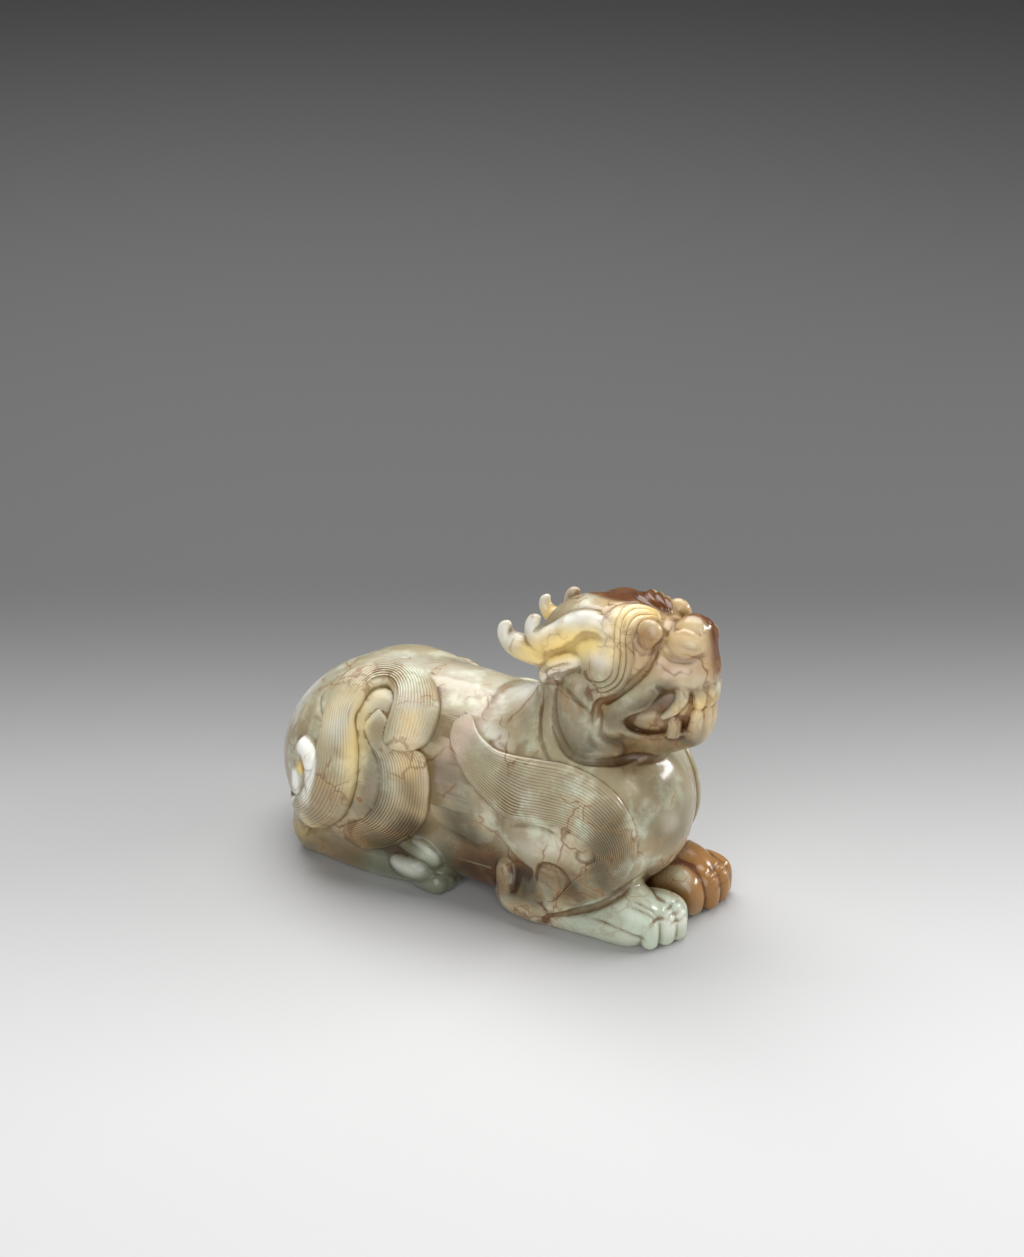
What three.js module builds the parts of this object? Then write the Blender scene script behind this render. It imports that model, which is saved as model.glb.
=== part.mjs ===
// A recumbent mythical beast carved from one pebble of jade.
// It faces +X with its head raised, +Y is its left side and +Z is up. It lies on z = 0,
// with the origin under the middle of the carving.
//
// The stone is described as a distance field: plump forms are blended together, hollows are cut
// and bands are raised on them, and the surface where the field is zero is skinned with facets.

import * as THREE from 'three';

// Driving sizes, in millimetres. Every place below is read at the design length and scaled by UNIT.
const LENGTH = 130;        // rump to the tips of the front paws
const DESIGN_LENGTH = 130;
const UNIT = LENGTH / DESIGN_LENGTH;

const BODY_HALF_WIDTH = 23.5; // round of the trunk
const BACK_HEIGHT = 54;
const BELLY_CLEARANCE = 2.5;  // the belly hangs this far over the table
const AXIS_HEIGHT = 30;       // a line along the trunk from which places on the body are measured
const RELIEF = 1.4;           // how far the carved bands stand proud
const PAW_HEIGHT = 7.5;
const PAW_SPREAD = 12;        // middle of each front paw from the middle of the body
const HIND_SPREAD = 17;
const HEAD_AXIS_HEIGHT = 76;
const LOCK_SPREAD = 9.8;      // middle of the hooked locks from the middle of the head
const LEFT_LOCK_DROP = 1.1;   // the left locks were cut a little lower

const GRID_STEP = 1.6;        // spacing of the grid on which the stone is felt
const FACETS = 9900;          // facets left once the flatter places have been thinned

const RIGHT = -1;
const LEFT = 1;
const SIDES = [RIGHT, LEFT];

// An egg: an ellipsoid with three radii, tipped nose-up by `pitch` and swung by `yaw`, in degrees.
class Egg {
  constructor(centre, radii, pitch = 0, yaw = 0) {
    this.centre = centre.map((v) => v * UNIT);
    this.radii = radii.map((v) => v * UNIT);
    const tip = THREE.MathUtils.degToRad(-pitch);
    const swing = THREE.MathUtils.degToRad(yaw);
    const turn = new THREE.Matrix4().makeRotationFromEuler(new THREE.Euler(0, tip, swing, 'ZYX'));
    this.inverse = turn.invert().elements;
    this.reach = Math.max(...this.radii);
  }

  distance(x, y, z) {
    const e = this.inverse;
    const dx = x - this.centre[0];
    const dy = y - this.centre[1];
    const dz = z - this.centre[2];
    const away = Math.hypot(dx, dy, dz) - this.reach;
    if (away > this.reach + 12) return away;
    const [a, b, c] = this.radii;
    const u = (e[0] * dx + e[4] * dy + e[8] * dz) / a;
    const v = (e[1] * dx + e[5] * dy + e[9] * dz) / b;
    const w = (e[2] * dx + e[6] * dy + e[10] * dz) / c;
    const near = Math.hypot(u, v, w);
    const slope = Math.hypot(u / a, v / b, w / c);
    return slope < 1e-9 ? -Math.min(a, b, c) : (near * (near - 1)) / slope;
  }
}

// A roll: a round bar whose radius changes along a smooth curve. Each stop is [x, y, z, radius].
// `squash` above 1 makes the bar that much thinner along the direction `across`.
class Roll {
  constructor(stops, { squash = 1, across = [0, 1, 0], steps = 5 } = {}) {
    this.squash = squash;
    this.across = new THREE.Vector3(...across).normalize().toArray();
    const places = stops.map(([x, y, z]) => new THREE.Vector3(x, y, z).multiplyScalar(UNIT));
    const curve = new THREE.CatmullRomCurve3(places, false, 'centripetal');
    const spans = stops.length - 1;
    this.beads = [];
    this.low = [Infinity, Infinity, Infinity];
    this.high = [-Infinity, -Infinity, -Infinity];
    for (let i = 0; i <= spans * steps; i += 1) {
      const place = curve.getPoint(i / (spans * steps)).toArray();
      const from = Math.min(Math.floor(i / steps), spans - 1);
      const radius = THREE.MathUtils.lerp(stops[from][3], stops[from + 1][3], i / steps - from) * UNIT;
      place.forEach((v, axis) => {
        this.low[axis] = Math.min(this.low[axis], v - radius);
        this.high[axis] = Math.max(this.high[axis], v + radius);
      });
      this.beads.push([...this.flatten(...place), radius]);
    }
  }

  flatten(x, y, z) {
    const [a, b, c] = this.across;
    const lift = (this.squash - 1) * (x * a + y * b + z * c);
    return [x + lift * a, y + lift * b, z + lift * c];
  }

  distance(x, y, z) {
    const outside = Math.hypot(
      Math.max(this.low[0] - x, 0, x - this.high[0]),
      Math.max(this.low[1] - y, 0, y - this.high[1]),
      Math.max(this.low[2] - z, 0, z - this.high[2]));
    if (outside > 12) return outside;
    const [px, py, pz] = this.flatten(x, y, z);
    let best = Infinity;
    for (let i = 1; i < this.beads.length; i += 1) {
      const [ax, ay, az, ar] = this.beads[i - 1];
      const [bx, by, bz, br] = this.beads[i];
      const ux = bx - ax;
      const uy = by - ay;
      const uz = bz - az;
      const along = ((px - ax) * ux + (py - ay) * uy + (pz - az) * uz) / (ux * ux + uy * uy + uz * uz);
      const t = Math.min(1, Math.max(0, along));
      const gap = Math.hypot(px - ax - t * ux, py - ay - t * uy, pz - az - t * uz);
      best = Math.min(best, gap - ar - t * (br - ar));
    }
    return best / Math.sqrt(this.squash);
  }
}

// The carving: forms joined, cut and raised one after the other, each with its own width of blend.
class Carving {
  constructor() {
    this.strokes = [];
  }

  join(blend, ...shapes) {
    shapes.forEach((shape) => this.strokes.push({ shape, blend: blend * UNIT, sign: 1 }));
  }

  cut(blend, ...shapes) {
    shapes.forEach((shape) => this.strokes.push({ shape, blend: blend * UNIT, sign: -1 }));
  }

  // Raises the ground by `height` wherever it lies inside the shapes.
  raise(height, blend, ...shapes) {
    shapes.forEach((shape) => {
      this.strokes.push({ shape, blend: blend * UNIT, sign: 1, height: height * UNIT });
    });
  }

  distance(x, y, z) {
    let stone = 1e3;
    for (const { shape, blend, sign, height } of this.strokes) {
      let form = shape.distance(x, y, z);
      if (height !== undefined) form = Math.max(form, stone - height);
      const ground = sign * stone;
      const overlap = Math.max(blend - Math.abs(ground - form), 0);
      stone = sign * (Math.min(ground, form) - (overlap * overlap) / (4 * blend));
    }
    return Math.max(stone, -z);
  }

  // Feels inwards from far off until the stone is met, then sinks a little under the surface.
  touch(from, towards, sink) {
    const heading = new THREE.Vector3(...towards).normalize();
    const place = new THREE.Vector3(...from).multiplyScalar(UNIT);
    for (let i = 0; i < 60; i += 1) {
      place.addScaledVector(heading, 0.8 * this.distance(place.x, place.y, place.z));
    }
    return place.addScaledVector(heading, sink * UNIT).divideScalar(UNIT).toArray();
  }

  // Lays a path on one flank. Each stop is [x, height, radius].
  layOnFlank(side, stops, sink = 0) {
    return stops.map(([x, z, radius]) => [...this.touch([x, side * 45, z], [0, -side, 0], sink), radius]);
  }

  // Lays a path round the trunk. Each stop is [x, rise above the horizontal in degrees, radius, sink].
  layRound(side, stops) {
    return stops.map(([x, rise, radius, sink]) => {
      const angle = THREE.MathUtils.degToRad(rise);
      const outward = [0, side * Math.cos(angle), Math.sin(angle)];
      const from = [x, outward[1] * 50, AXIS_HEIGHT + outward[2] * 50];
      return [...this.touch(from, outward.map((v) => -v), sink), radius];
    });
  }
}

// Stops given for the left side, [x, y, z, radius], set on the side asked for.
function onSide(side, stops) {
  return stops.map(([x, y, z, radius]) => [x, side * y, z, radius]);
}

// The trunk: a level back from rump to shoulders, a full chest, a neck and a low, flat belly that
// fills the space between the legs.
function carveTrunk(stone) {
  const r = BODY_HALF_WIDTH;
  const axis = BACK_HEIGHT - r;
  const belly = 11.5;
  const level = BELLY_CLEARANCE + belly;
  stone.join(1, new Roll([
    [-32, 0, axis - 0.5, r - 0.5], [-12, 0, axis + 1, r], [8, 0, axis + 0.3, r], [24, 0, axis, r - 0.5]]));
  stone.join(8, new Egg([-37.3, 0, 22.5], [25.6, 22.3, 24]));
  stone.join(8, new Egg([36, 0, 30], [22.5, 18.5, 22]));
  SIDES.forEach((side) => {
    stone.join(3, new Roll(onSide(side, [[-15, 9, level, belly], [14, 9, level, belly]])));
  });
  stone.join(3, new Roll([[-24, 0, level, belly], [36, 0, level, belly]]));
  stone.join(7, new Roll([[20, 0, 42, 15], [29, 0, 54, 14], [31, 0, 66, 13]]));
}

// Toes side by side, from the inner to the outer; `tips` says how far forward each one reaches.
function carveToes(stone, side, { from, spread, gap, tips, radius }) {
  tips.forEach((tip, i) => {
    const y = spread + (i - (tips.length - 1) / 2) * gap;
    stone.join(1, new Roll(onSide(side, [
      [from, y * 0.93, PAW_HEIGHT + 0.7, radius],
      [tip - 7, y, PAW_HEIGHT + 0.3, radius * 0.95],
      [tip - radius * 0.75, y, PAW_HEIGHT - 3, radius * 0.75]])));
  });
}

// The haunch, with the folded leg under it along the table.
function carveHindLeg(stone, side) {
  stone.join(5, new Egg([-28.7, side * 12, 25.3], [24.7, 14.5, 27]));
  stone.join(3, new Roll(onSide(side, [
    [-45, 13.5, 7, 8.5], [-22, HIND_SPREAD, 7, PAW_HEIGHT], [-9, HIND_SPREAD, PAW_HEIGHT, PAW_HEIGHT]])));
  carveToes(stone, side, { from: -14, spread: HIND_SPREAD, gap: 4.6, tips: [-1.5, 0, -1], radius: 4.4 });
}

// The shoulder, the forearm along the table and a small hooked curl at the elbow.
function carveFrontLeg(stone, side) {
  stone.join(4, new Egg([33, side * 12.5, 28], [20.5, 12, 22.5]));
  stone.join(3, new Roll(onSide(side, [
    [18, 15.5, 7, PAW_HEIGHT], [36, 13.5, PAW_HEIGHT, PAW_HEIGHT], [50, PAW_SPREAD, PAW_HEIGHT, 7]])));
  carveToes(stone, side, { from: 48, spread: PAW_SPREAD, gap: 4.2, tips: [60.5, 63, 62.8, 60], radius: 4 });
  stone.join(1.5, new Roll(onSide(side, [
    [24, 19, 6, 5], [17, 20, 6.5, 4.6], [14.8, 21, 11, 3.4],
    [17, 21.5, 14.3, 2.6], [19.5, 21.5, 12.5, 1.8]])));
}

// The mane band sweeps down the shoulder, widens and turns round a disc.
function carveShoulderBand(stone, side) {
  const band = [
    [-2.5, 48, 2.2], [1.5, 46.8, 4.2], [8.5, 43.5, 6.8], [15.5, 40, 7.8], [24.5, 39.5, 8.4], [34, 39.8, 7.6],
    [41, 37, 6.6], [45.5, 33, 6], [47, 27, 5.6], [46.5, 20, 5.4], [42.5, 13.5, 5], [35, 9.5, 4]];
  const disc = [[34, 17, 4.2], [34.5, 17, 4.2]];
  stone.raise(RELIEF, 0.8, new Roll(stone.layOnFlank(side, band)));
  stone.raise(RELIEF, 0.8, new Roll(stone.layOnFlank(side, disc)));
}

// A fringe hangs down the front of the haunch and runs back under it.
function carveFringe(stone, side) {
  const fringe = [
    [-24, 43, 3], [-16.5, 39.5, 6], [-11.5, 33.5, 7.4], [-10.8, 26.5, 7], [-13, 19.5, 5.8], [-19, 13.5, 4.4],
    [-27, 11, 2.8], [-34, 11, 1.6]];
  stone.raise(RELIEF, 0.8, new Roll(stone.layOnFlank(side, fringe)));
}

// The tail comes up the right haunch, bends over near the spine and drops forward to a round end.
// A small hooked curl lies behind it on the rump.
function carveTail(stone) {
  const tail = [
    [-57, -52, 3.4, 2], [-47, -36, 4.6, 2], [-38.5, -25, 5.4, 2], [-32.5, -11, 5.6, 2], [-30.5, 8, 5.4, 2.4],
    [-31, 27, 5.2, 2.4], [-31.5, 44, 5.2, 2.6], [-29, 59, 5.6, 3], [-23, 66, 6.2, 3.2], [-16, 60, 6.8, 3.4],
    [-12.5, 48, 7.2, 3.6], [-13, 36, 7, 3.6]];
  const curl = [
    [-41.5, -14, 3.2, 0.5], [-41, 2, 3, 0.5], [-41.5, 14, 3, 0.5],
    [-45.5, 17, 2.8, 0.5], [-48.5, 8, 2.4, 0.5]];
  stone.join(1, new Roll(stone.layRound(RIGHT, tail)));
  stone.join(1, new Roll(stone.layRound(RIGHT, curl)));
}

// A lock of the mane: a tapering horn that runs back and down, then turns up into a hook.
// It starts at `root`, [x, z], with radius `thick`, runs `length` at `dip` degrees below level and
// turns through `turn` degrees round a bend of radius `bend` to an end of radius `tip`.
function lock(side, { root, length, dip, turn, bend, thick, tip }) {
  const stops = [];
  const runs = 3;
  const bends = 5;
  const total = runs + bends;
  let heading = THREE.MathUtils.degToRad(180 + dip);
  let [x, z] = root;
  if (side === LEFT) z -= LEFT_LOCK_DROP;
  for (let i = 0; i <= total; i += 1) {
    stops.push([x, side * LOCK_SPREAD, z, THREE.MathUtils.lerp(thick, tip, (i / total) ** 1.8)]);
    const turned = i < runs ? 0 : THREE.MathUtils.degToRad(turn) / bends;
    const step = i < runs ? length / runs : bend * turned;
    heading -= turned;
    x += Math.cos(heading) * step;
    z += Math.sin(heading) * step;
  }
  return new Roll(stops);
}

// The skull, its temples and brows, the bulb of the nose and the muzzle.
function carveSkull(stone) {
  const h = HEAD_AXIS_HEIGHT;
  stone.join(4, new Egg([33, 0, h - 5], [17, 13.5, 16]));
  SIDES.forEach((side) => stone.join(3, new Egg([37.5, side * 4.8, h + 0.5], [9.5, 8.2, 10])));
  stone.join(4, new Roll([[43, 0, h - 0.5, 12], [50, 0, h - 0.5, 10.5], [57, 0, h - 0.5, 7.5]]));
  SIDES.forEach((side) => stone.join(2, new Egg([43.8, side * 4.4, h + 5], [9.2, 7, 7.2], -6)));
  stone.join(1.2, new Egg([58.6, 0, h + 6.4], [5, 5.8, 6]));
  stone.join(2, new Egg([57.6, 0, h - 2.2], [8.3, 8.8, 6.4]));
}

// The round lower jaw, the open mouth and the tongue that curls up against the upper lip.
function carveJaw(stone) {
  stone.join(3, new Roll([[38, 0, 57, 12], [48, 0, 56, 9.5], [58, 0, 58, 6.5]]));
  stone.cut(1, new Egg([67, 0, 65.5], [22, 25, 4.4], 14));
  const tongue = [[46, 0, 61, 4], [56, 0, 62, 4], [61, 0, 64, 3.6], [63.5, 0, 67.5, 2.4]];
  stone.join(1, new Roll(tongue, { squash: 0.5 }));
}

// One half of the face: cheek, brow band, the eye in its hollow, nostril and fang.
function carveFace(stone, side) {
  const cheek = [
    [59.5, 5.5, 74.5, 2.8], [55.5, 7.5, 73.5, 3.4], [49.5, 9, 68.7, 3.6],
    [43.3, 9.5, 62, 3.4], [41.7, 9.5, 57.5, 3.2]];
  const brow = [
    [52.3, 4, 87.6, 1.4], [48.3, 6, 88.6, 2.2], [44.6, 8.5, 86.8, 2.8], [43.6, 10.5, 82.5, 3],
    [44.2, 12, 77.5, 3], [42.6, 12.5, 73, 2.8], [39.6, 12.5, 69.6, 2.2]];
  const crease = [
    [55, 4, 86.5, 0.9], [54, 8, 83.5, 1], [53.3, 10, 79.5, 1.1], [49.8, 12, 73.7, 1.2],
    [45.3, 13, 67.9, 1.3], [38.6, 13.5, 60.8, 1.3]];
  const fang = [[60, 7, 71, 2.2], [60.6, 7.4, 68, 2], [59.4, 7.8, 64.8, 1.7], [57, 8, 63, 1.2]];
  stone.join(1.5, new Roll(onSide(side, cheek)));
  stone.raise(1.1, 0.8, new Roll(onSide(side, brow)));
  stone.cut(1, new Egg([50.8, side * 10.5, 83.2], [4.8, 3.2, 5.6], -15));
  stone.cut(0.8, new Roll(onSide(side, crease)));
  stone.join(0.5, new Egg([50.5, side * 8, 83.4], [3.7, 2.8, 4.8], -15));
  stone.join(0.8, new Egg([58.3, side * 5, 81.6], [4.4, 3.2, 3.4]));
  stone.join(0.6, new Roll(onSide(side, fang)));
}

// Folds of the ruff behind the jaw, a leaf-shaped ear and two hooked locks.
function carveMane(stone, side) {
  const ruff = [
    [33, 11, 69, 3.6], [32.4, 12, 63.5, 4.6], [33.2, 12, 58.5, 5], [35, 11, 52.5, 4.6], [40, 9, 49, 4]];
  const fold = [[36, 11, 63, 2.4], [37, 11.3, 58.5, 3], [38.5, 10.8, 54, 2.8], [42, 9.5, 51, 2.4]];
  const ear = [
    [37, 11, 74.5, 2.6], [31, 12, 73.4, 3.6], [26, 12, 70.2, 3], [22, 11.5, 67.6, 2], [21, 11.5, 69.8, 1.4]];
  const upperLock = { root: [36.2, 84], length: 12.5, dip: 30, turn: 165, bend: 3, thick: 4.2, tip: 1.7 };
  const lowerLock = { root: [27, 68.6], length: 14.2, dip: -22, turn: 115, bend: 2.6, thick: 4.4, tip: 1.8 };
  stone.join(1, new Roll(onSide(side, ruff)));
  stone.join(0.8, new Roll(onSide(side, fold)));
  stone.join(0.8, new Roll(onSide(side, ear)));
  stone.join(0.8, lock(side, upperLock));
  stone.join(0.8, lock(side, lowerLock));
}

function carve() {
  const stone = new Carving();
  carveTrunk(stone);
  SIDES.forEach((side) => {
    carveHindLeg(stone, side);
    carveFrontLeg(stone, side);
  });
  SIDES.forEach((side) => {
    carveShoulderBand(stone, side);
    carveFringe(stone, side);
  });
  carveTail(stone);
  carveSkull(stone);
  carveJaw(stone);
  SIDES.forEach((side) => {
    carveFace(stone, side);
    carveMane(stone, side);
  });
  return stone;
}

// The slope of the field at a place, by short differences.
function slopeAt(stone, [x, y, z], depth) {
  const h = 0.02;
  const beside = [stone.distance(x + h, y, z), stone.distance(x, y + h, z), stone.distance(x, y, z + h)];
  return beside.map((v) => (v - depth) / h);
}

// Moves a place on to the zero surface, a few short steps down the slope of the field.
function settle(stone, place, times) {
  const limit = 0.4 * UNIT;
  for (let i = 0; i < times; i += 1) {
    const depth = stone.distance(...place);
    const slope = slopeAt(stone, place, depth);
    const steep = Math.max(slope[0] ** 2 + slope[1] ** 2 + slope[2] ** 2, 0.25);
    const move = THREE.MathUtils.clamp(depth / steep, -limit, limit);
    slope.forEach((v, axis) => {
      place[axis] -= move * v;
    });
  }
}

// The corners, edges and sides of a grid cell. Corner n sits at x = bit 0, y = bit 1, z = bit 2.
const AXIS_BITS = [1, 2, 4];
const CELL_CORNERS = Array.from({ length: 8 }, (_, n) => [n & 1, (n >> 1) & 1, (n >> 2) & 1]);
const CELL_EDGES = AXIS_BITS.flatMap((bit) => (
  [...CELL_CORNERS.keys()].filter((n) => !(n & bit)).map((n) => [n, n | bit])));
const CELL_SIDES = AXIS_BITS.flatMap((bit) => [0, bit].map((side) => (
  [...CELL_EDGES.keys()].filter((e) => CELL_EDGES[e].every((n) => (n & bit) === side)))));

// Groups the crossed edges of a cell into separate sheets of surface, so that two sheets that pass
// through one cell never share a corner.
function sheetsOf(depth) {
  const crossed = CELL_EDGES.map(([p, q]) => (depth[p] < 0) !== (depth[q] < 0));
  const sheet = CELL_EDGES.map((_, e) => e);
  const merge = (a, b) => {
    const [keep, drop] = [sheet[a], sheet[b]];
    sheet.forEach((v, e) => {
      if (v === drop) sheet[e] = keep;
    });
  };
  CELL_SIDES.forEach((side) => {
    const cuts = side.filter((e) => crossed[e]);
    if (cuts.length === 2) merge(cuts[0], cuts[1]);
    if (cuts.length < 4) return;
    cuts.forEach((a) => cuts.forEach((b) => {
      const shared = CELL_EDGES[a].find((n) => CELL_EDGES[b].includes(n));
      if (a < b && shared !== undefined && depth[shared] < 0) merge(a, b);
    }));
  });
  return sheet.map((v, e) => (crossed[e] ? v : -1));
}

// Skins the zero surface: one corner for each sheet of surface in each grid cell, and one quad
// round each grid edge that the surface crosses.
function skin(stone, low, high) {
  const step = GRID_STEP * UNIT;
  const lines = low.map((from, axis) => {
    const count = Math.ceil((high[axis] * UNIT - from * UNIT) / step) + 1;
    return Array.from({ length: count }, (_, i) => from * UNIT + i * step);
  });
  const [nx, ny, nz] = lines.map((line) => line.length);
  const at = (i, j, k) => (i * ny + j) * nz + k;
  const field = new Float64Array(nx * ny * nz);
  lines[0].forEach((x, i) => lines[1].forEach((y, j) => lines[2].forEach((z, k) => {
    field[at(i, j, k)] = stone.distance(x, y, z);
  })));
  const corners = [];
  const cells = new Map();
  for (let i = 0; i + 1 < nx; i += 1) {
    for (let j = 0; j + 1 < ny; j += 1) {
      for (let k = 0; k + 1 < nz; k += 1) {
        const depth = CELL_CORNERS.map(([a, b, c]) => field[at(i + a, j + b, k + c)]);
        if (depth.every((v) => v < 0) || depth.every((v) => v >= 0)) continue;
        const sheets = sheetsOf(depth);
        const cornerOf = new Map();
        [...new Set(sheets)].filter((v) => v >= 0).forEach((name) => {
          const cuts = CELL_EDGES.filter((_, e) => sheets[e] === name);
          const place = [i, j, k].map((cell, axis) => {
            const sum = cuts.reduce((total, [p, q]) => {
              const t = depth[p] / (depth[p] - depth[q]);
              return total + THREE.MathUtils.lerp(CELL_CORNERS[p][axis], CELL_CORNERS[q][axis], t);
            }, 0);
            return lines[axis][cell] + (step * sum) / cuts.length;
          });
          settle(stone, place, 1);
          cornerOf.set(name, corners.length);
          corners.push(place);
        });
        cells.set(at(i, j, k), sheets.map((name) => cornerOf.get(name)));
      }
    }
  }
  const faces = [];
  // How far back the four cells round a grid edge lie along the two other axes, in turn.
  const turn = [[1, 1], [0, 1], [0, 0], [1, 0]];
  const counterTurn = [[1, 1], [1, 0], [0, 0], [0, 1]];
  const rounds = [turn, counterTurn, turn];
  for (let i = 1; i + 1 < nx; i += 1) {
    for (let j = 1; j + 1 < ny; j += 1) {
      for (let k = 1; k + 1 < nz; k += 1) {
        const inside = field[at(i, j, k)] < 0;
        [0, 1, 2].forEach((axis) => {
          const next = [i, j, k].map((v, n) => v + (n === axis ? 1 : 0));
          if (inside === field[at(...next)] < 0) return;
          const [first, second] = [0, 1, 2].filter((n) => n !== axis);
          const ring = rounds[axis].map(([a, b]) => {
            const back = [0, 0, 0];
            back[first] = a;
            back[second] = b;
            const from = back.reduce((sum, v, n) => sum | (v * AXIS_BITS[n]), 0);
            const edge = CELL_EDGES.findIndex(([p, q]) => p === from && q === (from | AXIS_BITS[axis]));
            return cells.get(at(i - back[0], j - back[1], k - back[2]))[edge];
          });
          if (!inside) ring.reverse();
          faces.push([ring[0], ring[1], ring[2]], [ring[0], ring[2], ring[3]]);
        });
      }
    }
  }
  return { corners, faces };
}

const minus = (a, b) => [a[0] - b[0], a[1] - b[1], a[2] - b[2]];
const cross = (a, b) => [a[1] * b[2] - a[2] * b[1], a[2] * b[0] - a[0] * b[2], a[0] * b[1] - a[1] * b[0]];
const dot = (a, b) => a[0] * b[0] + a[1] * b[1] + a[2] * b[2];
const normalOf = (a, b, c) => cross(minus(b, a), minus(c, a));

// Thins a closed skin: edges are closed up one after the other, the one that changes the surface
// least first, and never where that would fold or pinch the skin.
class Thinning {
  constructor(corners, faces) {
    this.corners = corners;
    this.faces = faces.map((face) => [...face]);
    this.count = faces.length;
    this.facesAt = corners.map(() => new Set());
    this.spread = corners.map(() => new Float64Array(10));
    this.stamp = new Int32Array(corners.length);
    this.heap = [];
    this.faces.forEach((face, f) => {
      const normal = normalOf(...face.map((v) => corners[v]));
      const size = Math.hypot(...normal) || 1e-12;
      const [a, b, c] = normal.map((v) => v / size);
      const d = -dot([a, b, c], corners[face[0]]);
      const terms = [a * a, a * b, a * c, a * d, b * b, b * c, b * d, c * c, c * d, d * d];
      face.forEach((v) => {
        this.facesAt[v].add(f);
        terms.forEach((term, i) => {
          this.spread[v][i] += term * size;
        });
      });
    });
    this.faces.forEach((face) => face.forEach((v, i) => {
      const w = face[(i + 1) % 3];
      if (v < w) this.offer(v, w);
    }));
  }

  // The squared distances of a place from the planes in `q`, summed.
  cost(q, [x, y, z]) {
    const squares = q[0] * x * x + q[4] * y * y + q[7] * z * z + q[9];
    return squares + 2 * (q[1] * x * y + q[2] * x * z + q[3] * x + q[5] * y * z + q[6] * y + q[8] * z);
  }

  // The place for the joined corner: the least cost of the two ends and the middle.
  offer(v, w) {
    const q = this.spread[v].map((term, i) => term + this.spread[w][i]);
    const [a, b] = [this.corners[v], this.corners[w]];
    const middle = a.map((t, i) => (t + b[i]) / 2);
    const long = dot(minus(a, b), minus(a, b));
    const options = [middle, a, b].map((place) => [this.cost(q, place), place]);
    options.sort((one, two) => one[0] - two[0]);
    const [cost, place] = options[0];
    this.push({ cost: cost + 1e-3 * long * long, v, w, place, stamp: this.stamp[v] + this.stamp[w] });
  }

  push(item) {
    const { heap } = this;
    let i = heap.push(item) - 1;
    while (i > 0) {
      const parent = (i - 1) >> 1;
      if (heap[parent].cost <= heap[i].cost) break;
      [heap[parent], heap[i]] = [heap[i], heap[parent]];
      i = parent;
    }
  }

  pop() {
    const { heap } = this;
    const top = heap[0];
    const last = heap.pop();
    if (heap.length === 0) return top;
    heap[0] = last;
    let i = 0;
    for (;;) {
      let least = i;
      [2 * i + 1, 2 * i + 2].forEach((child) => {
        if (child < heap.length && heap[child].cost < heap[least].cost) least = child;
      });
      if (least === i) return top;
      [heap[least], heap[i]] = [heap[i], heap[least]];
      i = least;
    }
  }

  around(v) {
    const near = new Set();
    this.facesAt[v].forEach((f) => this.faces[f].forEach((w) => near.add(w)));
    near.delete(v);
    return near;
  }

  // Whether a corner's faces keep their heading and stay plump when it moves to `place`.
  holds(v, other, place) {
    return [...this.facesAt[v]].every((f) => {
      const face = this.faces[f];
      if (face.includes(other)) return true;
      const before = normalOf(...face.map((n) => this.corners[n]));
      const moved = face.map((n) => (n === v ? place : this.corners[n]));
      const after = normalOf(...moved);
      const sizes = [Math.hypot(...before), Math.hypot(...after)];
      const longest = Math.max(...moved.map((p, i) => {
        const side = minus(p, moved[(i + 1) % 3]);
        return dot(side, side);
      }));
      return dot(before, after) > 0.4 * sizes[0] * sizes[1] && sizes[1] > 0.12 * longest;
    });
  }

  close({ v, w, place, stamp }) {
    if (this.facesAt[v].size === 0 || this.facesAt[w].size === 0) return;
    if (stamp !== this.stamp[v] + this.stamp[w]) return;
    const [nearV, nearW] = [this.around(v), this.around(w)];
    if ([...nearV].filter((n) => nearW.has(n)).length !== 2) return;
    if (!this.holds(v, w, place) || !this.holds(w, v, place)) return;
    this.facesAt[w].forEach((f) => {
      const face = this.faces[f];
      if (face.includes(v)) {
        face.forEach((n) => n !== w && this.facesAt[n].delete(f));
        this.faces[f] = null;
        this.count -= 1;
        return;
      }
      face[face.indexOf(w)] = v;
      this.facesAt[v].add(f);
    });
    this.facesAt[w] = new Set();
    this.corners[v] = place;
    this.spread[v] = this.spread[v].map((term, i) => term + this.spread[w][i]);
    this.stamp[v] += this.stamp[w] + 1;
    this.around(v).forEach((n) => this.offer(v, n));
  }

  run(target) {
    while (this.count > target && this.heap.length > 0) this.close(this.pop());
    const used = new Map();
    const faces = this.faces.filter((face) => face !== null);
    faces.forEach((face) => face.forEach((v) => used.has(v) || used.set(v, used.size)));
    return {
      corners: [...used.keys()].map((v) => this.corners[v]),
      faces: faces.map((face) => face.map((v) => used.get(v))),
    };
  }
}

// Facets the stone, thins the facets and stands the result over the origin.
function facet(stone) {
  const whole = skin(stone, [-70, -34, -2.4], [71, 31, 95]);
  const { corners, faces } = new Thinning(whole.corners, whole.faces).run(FACETS);
  corners.forEach((place) => settle(stone, place, 3));
  const geometry = new THREE.BufferGeometry();
  geometry.setAttribute('position', new THREE.Float32BufferAttribute(corners.flat(), 3));
  geometry.setIndex(faces.flat());
  geometry.computeBoundingBox();
  const middle = geometry.boundingBox.getCenter(new THREE.Vector3());
  geometry.translate(-middle.x, -middle.y, 0);
  geometry.computeVertexNormals();
  return geometry;
}

const jade = new THREE.MeshStandardMaterial({ color: 0xb9bfa8, roughness: 0.25, metalness: 0 });
const beast = new THREE.Mesh(facet(carve()), jade);
beast.name = 'jade_beast';

const group = new THREE.Group();
group.add(beast);
export default group;
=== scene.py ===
"""Dresses the jade beast: the fine carving, the stone, the light and the camera.

The carver's own measures are millimetres, with +X towards the head, +Y towards the beast's left
and +Z up. Everything is turned into metres in the part's frame when a mesh is made.
"""

from __future__ import annotations

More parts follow.
